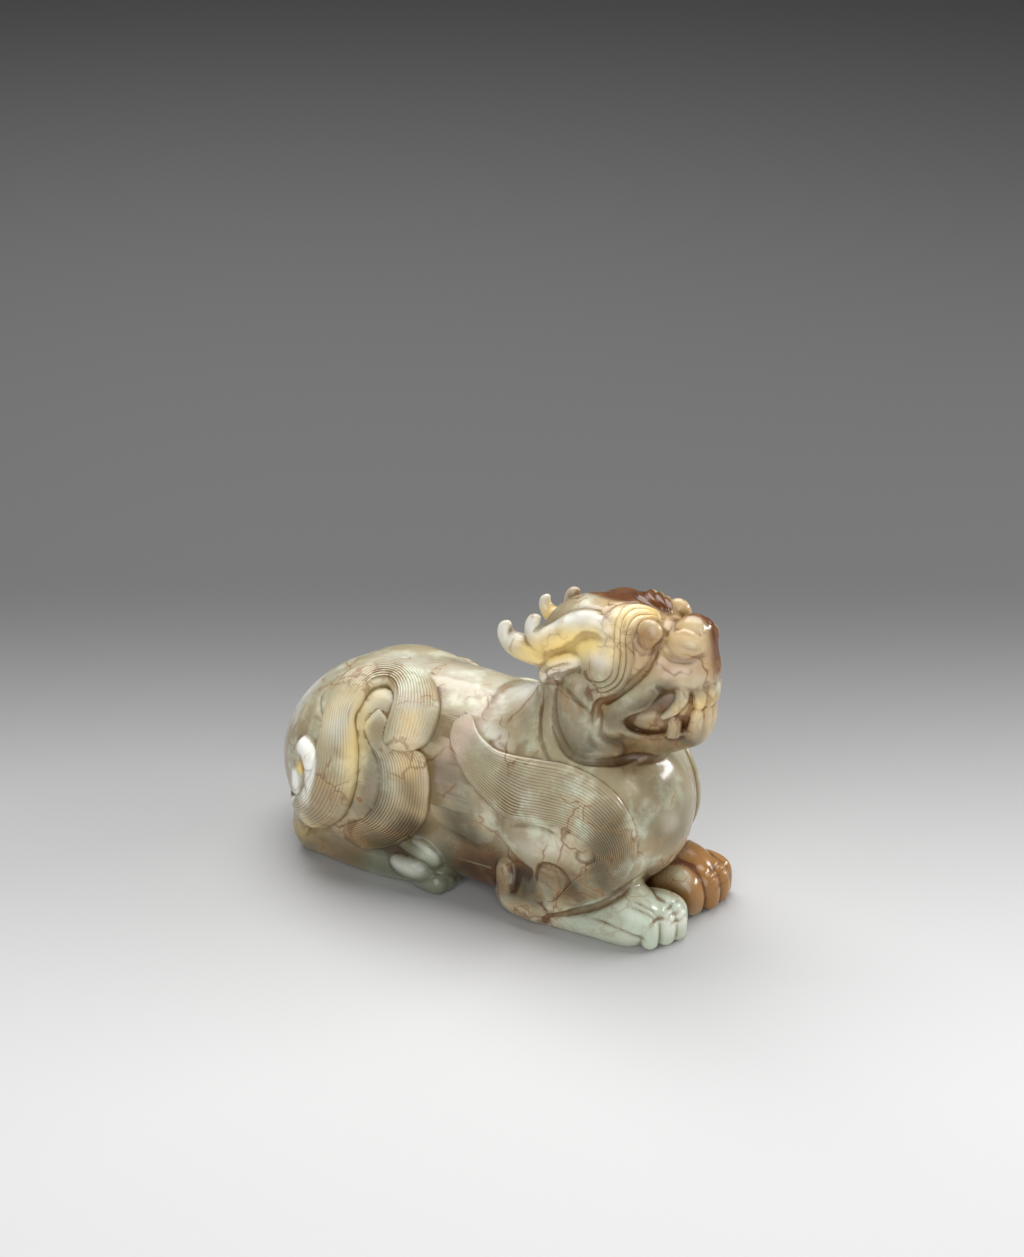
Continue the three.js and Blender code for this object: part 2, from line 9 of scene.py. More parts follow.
import logging
import math
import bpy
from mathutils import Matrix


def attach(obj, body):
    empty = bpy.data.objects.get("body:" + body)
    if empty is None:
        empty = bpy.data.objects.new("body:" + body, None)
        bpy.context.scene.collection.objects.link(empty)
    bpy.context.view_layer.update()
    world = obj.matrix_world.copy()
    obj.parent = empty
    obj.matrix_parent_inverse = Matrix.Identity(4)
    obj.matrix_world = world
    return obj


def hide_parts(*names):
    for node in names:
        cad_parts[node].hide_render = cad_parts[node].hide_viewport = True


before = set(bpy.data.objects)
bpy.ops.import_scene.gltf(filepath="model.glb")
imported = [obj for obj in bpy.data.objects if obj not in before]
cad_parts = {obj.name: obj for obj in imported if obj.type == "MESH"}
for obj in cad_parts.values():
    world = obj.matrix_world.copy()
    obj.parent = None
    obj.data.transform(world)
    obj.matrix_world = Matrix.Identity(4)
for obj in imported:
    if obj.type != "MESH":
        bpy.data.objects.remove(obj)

from concurrent.futures import ThreadPoolExecutor
from dataclasses import dataclass, field
from enum import Enum
from typing import Iterable, Sequence

import bpy
import numpy as np
from mathutils import Matrix

LOG = logging.getLogger("jade_beast")

MM = 0.001
MIDDLE = np.array([1.5, -1.8, 0.0])  # the middle of the carving in the carver's measures
FAR = 1000.0                         # a field value that means nothing is near
FINE_STEP = 0.45                     # grid on which the stone is felt
AXIS_HEIGHT = 30.0                   # a line along the trunk from which places on it are measured
OUTSIDE = 50.0                       # farther from that line than any part of the trunk

Stops = Sequence[Sequence[float]]


class Side(Enum):
    """The beast's own right and left, as the sign of Y."""

    RIGHT = -1
    LEFT = 1


def unit(vectors: np.ndarray) -> np.ndarray:
    """Scales each row to a length of one."""
    return vectors / np.maximum(np.linalg.norm(vectors, axis=-1, keepdims=True), 1e-12)


def smooth(low: float, high: float, values: np.ndarray) -> np.ndarray:
    """Rises from 0 at low to 1 at high along 3t^2 - 2t^3."""
    t = np.clip((values - low) / (high - low), 0.0, 1.0)
    return t * t * (3.0 - 2.0 * t)


def cubic(p1: np.ndarray, p2: np.ndarray, m1: np.ndarray, m2: np.ndarray, t: np.ndarray) -> np.ndarray:
    """The cubic that leaves p1 with slope m1 at t = 0 and reaches p2 with slope m2 at t = 1."""
    return p1 + m1 * t + (3 * (p2 - p1) - 2 * m1 - m2) * t ** 2 + (2 * (p1 - p2) + m1 + m2) * t ** 3


def curve_through(stops: np.ndarray, steps: int) -> np.ndarray:
    """Runs a smooth centripetal curve through the stops.

    Each span is a cubic whose slopes come from the square roots of the distances between stops.
    Columns beyond the third, such as a radius, are carried along in a straight line.

    Args:
        stops: one row for each stop, x, y, z and any further columns.
        steps: how many places each span is cut into.

    Returns:
        The places along the curve, steps for each span and one for the end.
    """
    place = stops[:, :3]
    before = np.vstack([2 * place[0] - place[1], place[:-1]])
    after = np.vstack([place[1:], 2 * place[-1] - place[-2]])
    padded = np.vstack([before[0], place, after[-1]])
    gap = np.maximum(np.linalg.norm(np.diff(padded, axis=0), axis=1), 1e-4)
    knot = np.sqrt(gap)
    p0, p1, p2, p3 = before[:-1], place[:-1], place[1:], after[1:]
    d0, d1, d2 = (knot[i:len(p0) + i, None] for i in range(3))
    m1 = ((p1 - p0) / d0 - (p2 - p0) / (d0 + d1) + (p2 - p1) / d1) * d1
    m2 = ((p2 - p1) / d1 - (p3 - p1) / (d1 + d2) + (p3 - p2) / d2) * d1
    t = (np.arange(steps) / steps)[None, :, None]
    p1, p2, m1, m2 = (v[:, None, :] for v in (p1, p2, m1, m2))
    spans = cubic(p1, p2, m1, m2, t)
    places = np.vstack([spans.reshape(-1, 3), place[-1]])
    at = np.arange(len(places)) / steps
    extra = [np.interp(at, np.arange(len(stops)), column) for column in stops[:, 3:].T]
    return np.column_stack([places, *extra])


class Shape:
    """Anything with a signed distance and a box around it."""

    low: np.ndarray
    high: np.ndarray

    def distance(self, points: np.ndarray) -> np.ndarray:
        """Gives the signed distance of each point, below zero inside."""
        raise NotImplementedError


class Egg(Shape):
    """An ellipsoid, tipped nose-up by pitch degrees."""

    def __init__(self, centre: Sequence[float], radii: Sequence[float], pitch: float = 0.0) -> None:
        """Turns the axes of the ellipsoid and works out the box around it."""
        self.centre = np.array(centre, float)
        self.radii = np.array(radii, float)
        c, s = math.cos(math.radians(-pitch)), math.sin(math.radians(-pitch))
        self.turn = np.array([[c, 0, s], [0, 1, 0], [-s, 0, c]])
        half = np.sqrt(((self.turn * self.radii) ** 2).sum(axis=1))
        self.low = self.centre - half
        self.high = self.centre + half

    def distance(self, points: np.ndarray) -> np.ndarray:
        """First-order distance: how far out the scaled point is, over the slope of that measure."""
        offset = points - self.centre
        scaled = (offset @ self.turn) / self.radii
        near = np.linalg.norm(scaled, axis=1)
        slope = np.maximum(np.linalg.norm(scaled / self.radii, axis=1), 1e-9)
        reach = self.radii.max()
        away = np.linalg.norm(offset, axis=1) - reach
        return np.where(away > reach + 12, away, near * (near - 1) / slope)


class Roll(Shape):
    """A round bar whose radius changes along a smooth curve."""

    def __init__(self, stops: Stops, steps: int = 4) -> None:
        """Strings beads along the curve, steps of them for each span."""
        beads = curve_through(np.array(stops, float), steps)
        self.beads = beads[:, :3]
        self.radii = beads[:, 3]
        self.low = (self.beads - self.radii[:, None]).min(axis=0)
        self.high = (self.beads + self.radii[:, None]).max(axis=0)

    def distance(self, points: np.ndarray) -> np.ndarray:
        """The least distance to a tapered bar between two beads, over all pairs of beads."""
        best = np.full(len(points), np.inf)
        spans = zip(self.beads[:-1], self.beads[1:], self.radii[:-1], self.radii[1:])
        for start, end, from_radius, to_radius in spans:
            run = end - start
            offset = points - start
            t = np.clip(offset @ run / max(run @ run, 1e-12), 0, 1)
            offset -= t[:, None] * run
            gap = np.sqrt(np.einsum("ij,ij->i", offset, offset))
            np.minimum(best, gap - from_radius - t * (to_radius - from_radius), out=best)
        return best


@dataclass(frozen=True)
class Stroke:
    """One stroke of the carver: a shape joined, or cut away where sign is -1, with its blend."""

    shape: Shape
    blend: float
    sign: int = 1


class Carving:
    """The stone as a distance field, made by strokes one after the other."""

    FEELS = 60          # steps by which a place is felt for from outside
    CAUTION = 0.8       # share of the distance that each of them goes

    def __init__(self) -> None:
        """Starts without any stone."""
        self.strokes: list[Stroke] = []

    def join(self, blend: float, *shapes: Shape) -> None:
        """Adds stone."""
        self.strokes += [Stroke(shape, blend) for shape in shapes]

    def cut(self, blend: float, *shapes: Shape) -> None:
        """Takes stone away."""
        self.strokes += [Stroke(shape, blend, -1) for shape in shapes]

    def _chunk(self, points: np.ndarray, near: float | None) -> np.ndarray:
        """Blends the strokes at some points.

        Each step takes the smaller distance, less d^2 / 4b in an overlap d of a blend b.
        """
        stone = np.full(len(points), FAR)
        low, high = points.min(axis=0), points.max(axis=0)
        for stroke in self.strokes:
            shape = stroke.shape
            picked = slice(None)
            if near is not None:
                reach = stroke.blend + near
                if (low > shape.high + reach).any() or (high < shape.low - reach).any():
                    continue
                held = ((points > shape.low - reach) & (points < shape.high + reach)).all(axis=1)
                picked = np.flatnonzero(held)
                if not len(picked):
                    continue
            form = shape.distance(points[picked])
            ground = stroke.sign * stone[picked]
            overlap = np.maximum(stroke.blend - np.abs(ground - form), 0)
            stone[picked] = stroke.sign * (np.minimum(ground, form) - overlap ** 2 / (4 * stroke.blend))
        return np.maximum(stone, -points[:, 2])

    def distance(self, points: np.ndarray, near: float | None = 3.5) -> np.ndarray:
        """Gives the field at the points.

        Args:
            points: one row for each point.
            near: how far from the stone the value still has to be right, or None for all the way.

        Returns:
            The signed distance of each point, below zero in the stone.
        """
        size = 20000
        chunks = [points[i:i + size] for i in range(0, len(points), size)]
        with ThreadPoolExecutor(4) as pool:
            return np.concatenate(list(pool.map(lambda chunk: self._chunk(chunk, near), chunks)))

    def slope(self, points: np.ndarray, depth: np.ndarray) -> np.ndarray:
        """The slope of the field, by short steps along each axis."""
        step = 0.02
        beside = [self.distance(points + step * axis) for axis in np.eye(3)]
        return np.column_stack([(value - depth) / step for value in beside])

    def settle(self, points: np.ndarray, times: int, limit: float = 0.4) -> tuple[np.ndarray, np.ndarray]:
        """Moves points on to the surface, down the slope of the field.

        Returns:
            The points, and the outward direction at each.
        """
        for _ in range(times):
            depth = self.distance(points)
            slope = self.slope(points, depth)
            steep = np.maximum((slope ** 2).sum(axis=1), 0.25)
            points = points - np.clip(depth / steep, -limit, limit)[:, None] * slope
        return points, unit(self.slope(points, self.distance(points)))

    def touch(self, start: np.ndarray, heading: np.ndarray) -> np.ndarray:
        """Feels inwards from far off until the stone is met."""
        place = np.array(start, float)
        for _ in range(self.FEELS):
            place = place + heading * self.CAUTION * self.distance(place, None)[:, None]
        return place

    def crease(self, stops: Stops, radius: float = 0.6, depth: float = 0.5, blend: float = 0.4) -> None:
        """Cuts a furrow along stops that are settled on the stone as it is so far.

        Args:
            stops: places near the stone.
            radius: half the width of the tool that cuts it.
            depth: how deep it lies in the middle. It runs out to nothing at both ends.
            blend: how soft its edges are.
        """
        self.cut(blend, self.lay_bar(stops, radius, radius - depth, radius))

    def ridge(self, stops: Stops, radius: float = 0.8, height: float = 0.6, blend: float = 0.5) -> None:
        """Raises a ridge along stops that are settled on the stone, with the same ends as a crease."""
        self.join(blend, self.lay_bar(stops, radius, height - radius, -radius))

    def lay_bar(self, stops: Stops, radius: float, lift: float, end_lift: float) -> Roll:
        """Lays a bar along the stone, lifted by lift in its middle and by end_lift at both ends."""
        line = curve_through(np.array(stops, float), 4)
        line, outward = self.settle(line, 5, 1.5)
        along = np.linspace(0, 1, len(line))
        share = smooth(0, 0.25, np.minimum(along, 1 - along))[:, None]
        places = line + outward * (end_lift + (lift - end_lift) * share)
        return Roll(np.column_stack([places, np.full(len(line), radius)]), steps=1)

    def lay_round(self, side: Side, places: Stops) -> np.ndarray:
        """Lays places on the trunk, each given as x and its rise over the axis in degrees."""
        places = np.array(places, float)
        rise = np.radians(places[:, 1])
        outward = np.column_stack([np.zeros(len(rise)), side.value * np.cos(rise), np.sin(rise)])
        foot = np.column_stack([places[:, 0], np.zeros(len(rise)), np.full(len(rise), AXIS_HEIGHT)])
        return self.touch(outward * OUTSIDE + foot, -outward)


def on_side(side: Side, stops: Stops) -> list[tuple[float, ...]]:
    """Sets stops that are given for the left side on the side asked for."""
    return [(stop[0], side.value * stop[1], *stop[2:]) for stop in stops]


def bar(side: Side, stops: Stops) -> Roll:
    """A round bar on the side asked for, its stops given for the left side."""
    return Roll(on_side(side, stops))


@dataclass
class Mesh:
    """Corners and faces, in the carver's millimetres."""

    points: np.ndarray
    quads: np.ndarray

    def to_object(self, name: str) -> bpy.types.Object:
        """Makes an object of them, in metres in the part's frame."""
        mesh = bpy.data.meshes.new(name)
        count = len(self.quads)
        mesh.vertices.add(len(self.points))
        mesh.vertices.foreach_set("co", ((self.points - MIDDLE) * MM).astype(np.float32).ravel())
        mesh.loops.add(count * 4)
        mesh.loops.foreach_set("vertex_index", self.quads.astype(np.int32).ravel())
        mesh.polygons.add(count)
        mesh.polygons.foreach_set("loop_start", np.arange(0, count * 4, 4, dtype=np.int32))
        mesh.update(calc_edges=True)
        mesh.validate()
        piece = bpy.data.objects.new(name, mesh)
        bpy.context.scene.collection.objects.link(piece)
        return piece


class Skin:
    """Skins the zero surface of the field: a corner for each sheet of surface in each grid cell."""

    CORNERS = [(n & 1, (n >> 1) & 1, (n >> 2) & 1) for n in range(8)]
    EDGES = [(n, n | bit) for bit in (1, 2, 4) for n in range(8) if not n & bit]

    def __init__(self, stone: Carving, step: float, low: Sequence[float], high: Sequence[float]) -> None:
        """Lays out a coarse grid over the box from low to high, four steps to a cell."""
        self.stone = stone
        self.step = step
        self.low = np.array(low, float)
        self.size = np.ceil((np.array(high, float) - self.low) / (4 * step)).astype(int) + 1

    @classmethod
    def sheets(cls) -> tuple[np.ndarray, np.ndarray]:
        """Groups the crossed edges of a cell into sheets, for each of the 256 ways a cell can be cut.

        Returns:
            The sheet of each edge, or -1 where it isn't crossed, and the number of sheets.
        """
        table = np.full((256, 12), -1, np.int8)
        count = np.zeros(256, np.int8)
        sides = [[e for e, ends in enumerate(cls.EDGES) if all((n & bit) == at for n in ends)]
                 for bit in (1, 2, 4) for at in (0, bit)]
        for case in range(256):
            inside = [bool(case >> n & 1) for n in range(8)]
            sheet = {e: e for e, (p, q) in enumerate(cls.EDGES) if inside[p] != inside[q]}
            for side in sides:
                cuts = [e for e in side if e in sheet]
                for a in cuts:
                    for b in cuts:
                        shared = set(cls.EDGES[a]) & set(cls.EDGES[b])
                        if a < b and (len(cuts) == 2 or any(inside[n] for n in shared)):
                            keep, drop = sheet[a], sheet[b]
                            sheet = {e: keep if v == drop else v for e, v in sheet.items()}
            names = sorted(set(sheet.values()))
            count[case] = len(names)
            for e, v in sheet.items():
                table[case, e] = names.index(v)
        return table, count

    def places(self, index: np.ndarray) -> np.ndarray:
        """The places of grid corners from their indices."""
        return self.low + index * self.step

    def feel(self) -> np.ndarray:
        """Feels the field on a coarse grid, then twice on one half as wide, where the surface is near."""
        spacing = self.step * 4
        grid = np.indices(self.size).reshape(3, -1).T
        values = self.stone.distance(self.low + grid * spacing).reshape(self.size)
        for _ in range(2):
            spacing /= 2
            values = values.repeat(2, 0).repeat(2, 1).repeat(2, 2)
            near = np.argwhere(np.abs(values) < 3 * spacing)
            values[tuple(near.T)] = self.stone.distance(self.low + near * spacing)
        return values

    def mesh(self) -> Mesh:
        """Works out the corners as the mean crossing of each sheet, and a quad round each crossed edge."""
        values = self.feel()
        shape = np.array(values.shape)
        inside = values < 0
        case = np.zeros(shape - 1, np.uint8)
        for n, corner in enumerate(self.CORNERS):
            part = tuple(slice(c, c + s) for c, s in zip(corner, shape - 1))
            case |= inside[part].astype(np.uint8) << n
        table, count = self.sheets()
        cells = np.argwhere((case > 0) & (case < 255))
        kinds = case[tuple(cells.T)]
        first = np.concatenate([[0], np.cumsum(count[kinds].astype(int))])
        total = first[-1]
        rank = np.full(case.shape, -1, np.int32)
        rank[tuple(cells.T)] = np.arange(len(cells))
        sums = np.zeros((total, 3))
        parts = np.zeros(total)
        for e, (p, q) in enumerate(self.EDGES):
            picked = np.flatnonzero(table[kinds, e] >= 0)
            owner = first[picked] + table[kinds[picked], e]
            start = cells[picked] + self.CORNERS[p]
            end = cells[picked] + self.CORNERS[q]
            depth_p, depth_q = values[tuple(start.T)], values[tuple(end.T)]
            t = (depth_p / (depth_p - depth_q))[:, None]
            crossing = self.places(start) * (1 - t) + self.places(end) * t
            for axis in range(3):
                sums[:, axis] += np.bincount(owner, crossing[:, axis], total)
            parts += np.bincount(owner, minlength=total)
        quads = [self.quads_along(axis, inside, case, rank, first, table) for axis in range(3)]
        return Mesh(sums / parts[:, None], np.vstack(quads))

    def quads_along(self, axis: int, inside: np.ndarray, case: np.ndarray, rank: np.ndarray,
                    first: np.ndarray, table: np.ndarray) -> np.ndarray:
        """The quads round the crossed grid edges that run along one axis, facing out of the stone."""
        beside, above = (axis + 1) % 3, (axis + 2) % 3
        along = np.eye(3, dtype=int)
        low = np.take(inside, range(inside.shape[axis] - 1), axis)
        high = np.take(inside, range(1, inside.shape[axis]), axis)
        crossed = np.argwhere(low != high)
        crossed = crossed[(crossed[:, beside] > 0) & (crossed[:, above] > 0)]
        corners = []
        for back_b, back_a in ((1, 1), (0, 1), (0, 0), (1, 0)):
            cell = crossed - back_b * along[beside] - back_a * along[above]
            start = (back_b << beside) | (back_a << above)
            edge = self.EDGES.index((start, start | (1 << axis)))
            at = tuple(cell.T)
            corners.append(first[rank[at]] + table[case[at], edge])
        quads = np.column_stack(corners)
        outward = low[tuple(crossed.T)]
        return np.where(outward[:, None], quads, quads[:, ::-1])


@dataclass
class Band:
    """A carved band: a patch ruled between two edges, laid on the stone and ribbed along its length.

    Attributes:
        inner, outer: the two edges, stop by stop, as places near the stone.
        ribs: how many ribs lie side by side.
        groove: depth of the groove between two ribs.
        rise: how far the band stands over the stone at its inner and outer edge.
        crown: how far its middle stands higher still.
        margin: share of the width that stays smooth at each edge.
        fade: length over which the grooves run out at the start and at the end.
        taper: length over which the whole band sinks away at the start and at the end.
        spacing: distance between two rows along the band.
        sink: how far it reaches into the stone.
        rounding: width of its rounded border.
        roundness: 1 for round ribs, less for flat ones with narrow grooves.
        dive: how far under the stone a tapered end goes.
    """

    inner: np.ndarray
    outer: np.ndarray
    ribs: int
    groove: float = 0.22
    rise: tuple[float, float] = (0.4, 0.9)
    crown: float = 0.0
    margin: tuple[float, float] = (0.05, 0.05)
    fade: tuple[float, float] = (4.0, 4.0)
    taper: tuple[float, float] = (0.0, 0.0)
    spacing: float = 1.0
    sink: float = 2.0
    rounding: float = 0.7
    roundness: float = 0.6
    dive: float = 0.5

    def rows(self) -> tuple[np.ndarray, np.ndarray, np.ndarray]:
        """Samples both edges at even steps of their mean length.

        Returns:
            The inner places, the outer places and the length run at each row.
        """
        inner = curve_through(self.inner, 12)
        outer = curve_through(self.outer, 12)
        middle = (inner + outer) / 2
        run = np.concatenate([[0], np.cumsum(np.linalg.norm(np.diff(middle, axis=0), axis=1))])
        even = np.linspace(0, run[-1], max(int(run[-1] / self.spacing), 4))
        pick = [np.column_stack([np.interp(even, run, column) for column in edge.T]) for edge in (inner,
            outer)]
        return pick[0], pick[1], even

    def columns(self, coarse: bool) -> np.ndarray:
        """Places across the band from 0 to 1: a few at each rounded edge, and four for each rib."""
        lead = np.array([0.0, 0.12, 0.35, 0.65])
        first, last = self.margin
        parts = (0.0, 0.5) if coarse else (0.0, 0.2, 0.5, 0.8)
        ribs = (np.arange(self.ribs)[:, None] + np.array(parts)).ravel() / self.ribs
        middle = first + ribs * (1 - first - last)
        return np.concatenate([lead * first, middle, 1 - last * np.concatenate([[1.0], lead[::-1]])])

    def build(self, stone: Carving, coarse: bool = False) -> Mesh:
        """Lays the patch on the stone and closes it below.

        A row is a straight line between the edges, settled on the stone. Each place then moves
        outwards by the rise, plus the crown times the sine across, less the groove, all rounded
        down to nothing along the border. At a tapered end the band dives under the stone.
        """
        inner, outer, run = self.rows()
        guide = np.linspace(0, 1, 13)
        bend = np.where(self.crown > 0, 0.5 - 0.5 * np.cos(np.pi * guide), guide)
        patch = inner[:, None] * (1 - bend[None, :, None]) + outer[:, None] * bend[None, :, None]
        shape = patch.shape
        settled, outward = stone.settle(patch.reshape(-1, 3), 6, 1.2)
        t = self.columns(coarse)
        settled = across(settled.reshape(shape), guide, t)
        outward = unit(across(outward.reshape(shape), guide, t))
        width = np.linalg.norm(outer - inner, axis=1)[:, None]
        first, last = self.margin
        rib = np.clip((t - first) / (1 - first - last), 0, 1) * self.ribs
        valley = 1 - np.abs(np.sin(np.pi * rib)) ** self.roundness
        length = run[-1]
        deep = smooth(0, self.fade[0], run) * smooth(0, self.fade[1], length - run)
        border = np.minimum(np.minimum(t, 1 - t) * width, np.minimum(run, length - run)[:, None])
        softened = np.sqrt(np.clip(1 - (1 - np.clip(border / self.rounding, 0, 1)) ** 2, 0, 1))
        height = self.rise[0] + (self.rise[1] - self.rise[0]) * t + self.crown * np.sin(np.pi * t) ** 0.8
        narrow = np.clip(width / 4.0, 0.15, 1.0)
        height = (height * narrow - self.groove * valley * deep[:, None] * narrow) * softened
        shown = smooth(-0.01, self.taper[0], run) * smooth(-0.01, self.taper[1], length - run)
        height = height * shown[:, None] - self.dive * (1 - shown[:, None])
        top = settled + outward * height[..., None]
        below = settled - outward * self.sink
        return closed_slab(top, below)


def across(grid: np.ndarray, knots: np.ndarray, at: np.ndarray) -> np.ndarray:
    """Reads a grid at other places across it, along cubics through its even columns."""
    step = knots[1] - knots[0]
    index = np.clip((at / step).astype(int), 0, len(knots) - 2)
    t = (at / step - index)[None, :, None]
    padded = np.concatenate([2 * grid[:, :1] - grid[:, 1:2], grid, 2 * grid[:, -1:] - grid[:, -2:-1]], axis=1)
    p0, p1, p2, p3 = (padded[:, index + i] for i in range(4))
    return cubic(p1, p2, (p2 - p0) / 2, (p3 - p1) / 2, t)


def closed_slab(top: np.ndarray, below: np.ndarray) -> Mesh:
    """Joins two grids of the same shape into one closed slab, with the top facing outwards."""
    rows, cols = top.shape[:2]
    index = np.arange(rows * cols).reshape(rows, cols)
    face = np.stack([index[:-1, :-1], index[1:, :-1], index[1:, 1:], index[:-1, 1:]], -1).reshape(-1, 4)
    rim = np.concatenate([index[0, :-1], index[:-1, -1], index[-1, :0:-1], index[:0:-1, 0]])
    after = np.roll(rim, -1)
    drop = rows * cols
    wall = np.column_stack([rim, after, after + drop, rim + drop])
    quads = np.vstack([face, face[:, ::-1] + drop, wall])
    points = np.vstack([top.reshape(-1, 3), below.reshape(-1, 3)])
    corner = points[quads]
    volume = np.einsum("ij,ij->i", corner[:, 0], np.cross(corner[:, 1], corner[:, 2])).sum()
    volume += np.einsum("ij,ij->i", corner[:, 0], np.cross(corner[:, 2], corner[:, 3])).sum()
    return Mesh(points, quads if volume > 0 else quads[:, ::-1])


@dataclass
class Trunk:
    """The trunk: a level back from rump to shoulders, a full chest, a neck and a flat belly."""

    half_width: float = 23.5
    back: float = 54.0
    belly: float = 11.5
    belly_clearance: float = 2.5

    def carve(self, stone: Carving) -> None:
        """Joins the back, rump, chest, belly and neck."""
        r, axis = self.half_width, self.back - self.half_width
        level = self.belly_clearance + self.belly
        stone.join(1, Roll([
            (-32, 0, axis - 0.5, r - 0.5), (-12, 0, axis + 1, r), (8, 0, axis + 0.3, r),
            (24, 0, axis, r - 0.5)]))
        stone.join(8, Egg((-37.3, 0, 22.5), (25.6, 22.3, 24)))
        stone.join(8, Egg((36, 0, 30), (22.5, 18.5, 22)))
        for side in Side:
            stone.join(3, bar(side, [(-15, 9, level, self.belly), (14, 9, level, self.belly)]))
        stone.join(3, Roll([(-24, 0, level, self.belly), (36, 0, level, self.belly)]))
        stone.join(7, Roll([(20, 0, 42, 15), (29, 0, 54, 14), (31, 0, 66, 13)]))


@dataclass
class Legs:
    """The haunches and shoulders, the folded legs, their toes and the curl at each elbow."""

    paw_height: float = 7.5
    paw_spread: float = 12.0
    hind_spread: float = 17.0

    def toe(self, stone: Carving, side: Side, start: float, root: float, tip: tuple[float, float],
            radius: float) -> None:
        """Joins one toe, from its root inside the foot over the knuckle and down to the ground.

        Args:
            stone: the carving.
            side: right or left.
            start: x at which the toe begins.
            root: distance of its root from the middle plane.
            tip: x of its foremost point and distance of the tip from the middle plane.
            radius: radius at the knuckle.
        """
        x, y = tip
        low = radius * 0.85
        stone.join(0.6, bar(side, [
            (start, root, self.paw_height + 0.5, radius * 1.1), (x - 7, (root + y) / 2, 8.9, radius * 1.05),
            (x - radius * 1.25, y, 7.6, radius), (x - radius, y, 5.2, radius * 0.97),
            (x - low * 1.1, y, low, low)]))

    def hind(self, stone: Carving, side: Side) -> None:
        """Joins the haunch, the folded leg under it and the foot with its side lobes and toes."""
        h, s = self.paw_height, self.hind_spread
        stone.join(5, Egg((-28.7, side.value * 12, 25.3), (24.7, 14.5, 27)))
        stone.join(3, bar(side, [(-45, 13.5, 7, 8.5), (-22, s - 0.5, 7, h),
            (-11, s - 1, h, h - 0.5)]))
        for root, tip in ((9.5, (-1.8, 9.5)), (13.5, (-0.6, 13.5)), (17, (-0.8, 17.2))):
            self.toe(stone, side, -13, root, tip, 3.5)
        stone.join(0.6, bar(side, [(-19, 18, 14, 3.5), (-11, 19.9, 13.6, 3.9),
            (-5.6, 19.3, 11, 3.4)]))
        stone.join(0.5, Egg((-11.6, side.value * 19.6, 7.4), (7.6, 5.7, 4.5), -8))
        stone.join(0.5, bar(side, [(-9, 19.5, 4.2, 3.6), (-4.6, 20, 3.6, 3.2)]))

    def front(self, stone: Carving, side: Side) -> None:
        """Joins the shoulder, the forearm along the table, the paw and the chipped knob at the elbow."""
        h, s = self.paw_height, self.paw_spread
        stone.join(4, Egg((33, side.value * 12.5, 28), (20.5, 12, 22.5)))
        stone.join(3, bar(side, [(19, 15.5, 6.5, 7), (36, 13.5, h, h), (48, s, h, 7.5)]))
        stone.join(3, bar(side, [(26, 15.8, 4.4, 5), (38, 16, 4.4, 4.8), (50, 15.2, 4.4, 4.8)]))
        stone.join(3, bar(side, [(25, 16.5, 11, 6.5), (31, 16.5, 12, 7.5)]))
        if side is Side.RIGHT:
            stone.join(2, Egg((47.5, -13.2, 7), (11.5, 7.6, 8.2)))
            toes = ((14, (59.3, 15.4), 2.7), (11.5, (61.8, 11.2), 3.0), (8, (63, 7.4), 2.9),
                (6, (61.6, 4.5), 2.6))
        else:
            stone.join(2, Egg((49, 13.5, 7.5), (11, 8, 7.8)))
            toes = ((6.5, (61, 5.6), 3.6), (11, (62.9, 10.8), 3.2), (15, (63.2, 15.6), 3.1),
                (18.5, (61.8, 19.6), 2.6))
        for root, tip, radius in toes:
            self.toe(stone, side, 49, root, tip, radius)
        stone.join(1.5, bar(side, [
            (25, 18.5, 7, 6.2), (20, 19.2, 7.2, 5), (18.1, 20, 10.6, 3.6), (17.2, 20.8, 13.6, 2.7),
            (17, 21, 15.2, 2.0)]))

    def lines(self, stone: Carving) -> None:
        """Cuts the long furrows on the back of each paw and the folds over its knuckles."""
        stone.crease([(40, -20.8, 7.8), (46.5, -21, 7.4), (51, -20, 6.4), (55, -18, 4.6), (57, -16.8, 3.4)],
            0.5, 0.4)
        stone.crease([(51, -18.2, 12.9), (55.4, -16.9, 11.4), (58.1, -15.8, 9.4), (59.4, -15, 7.6)],
            0.4, 0.35)
        stone.crease([(51.8, -16.9, 13.6), (56, -15.6, 11.9), (58.9, -14.4, 9.6)], 0.4, 0.35)
        stone.crease([(57.2, -17.6, 6.6), (58.4, -16.2, 8.6), (59.2, -14.2, 9), (60, -12.8, 8)], 0.5, 0.5)
        for side, places in ((Side.RIGHT, (11.2, 7.4)), (Side.LEFT, (10.8, 15.8))):
            for y in places:
                for x, z in ((60, 11.4), (61.6, 9.6), (62.6, 7.4)):
                    ahead = x + (0 if side is Side.RIGHT else 0.2)
                    stone.crease(on_side(side, [
                        (ahead - 0.4, y - 2.3, z - 0.8), (ahead, y, z), (ahead - 0.4, y + 2.3, z - 0.8)]),
                        0.4, 0.35)

    def carve(self, stone: Carving) -> None:
        """Joins all four legs."""
        for side in Side:
            self.hind(stone, side)
            self.front(stone, side)


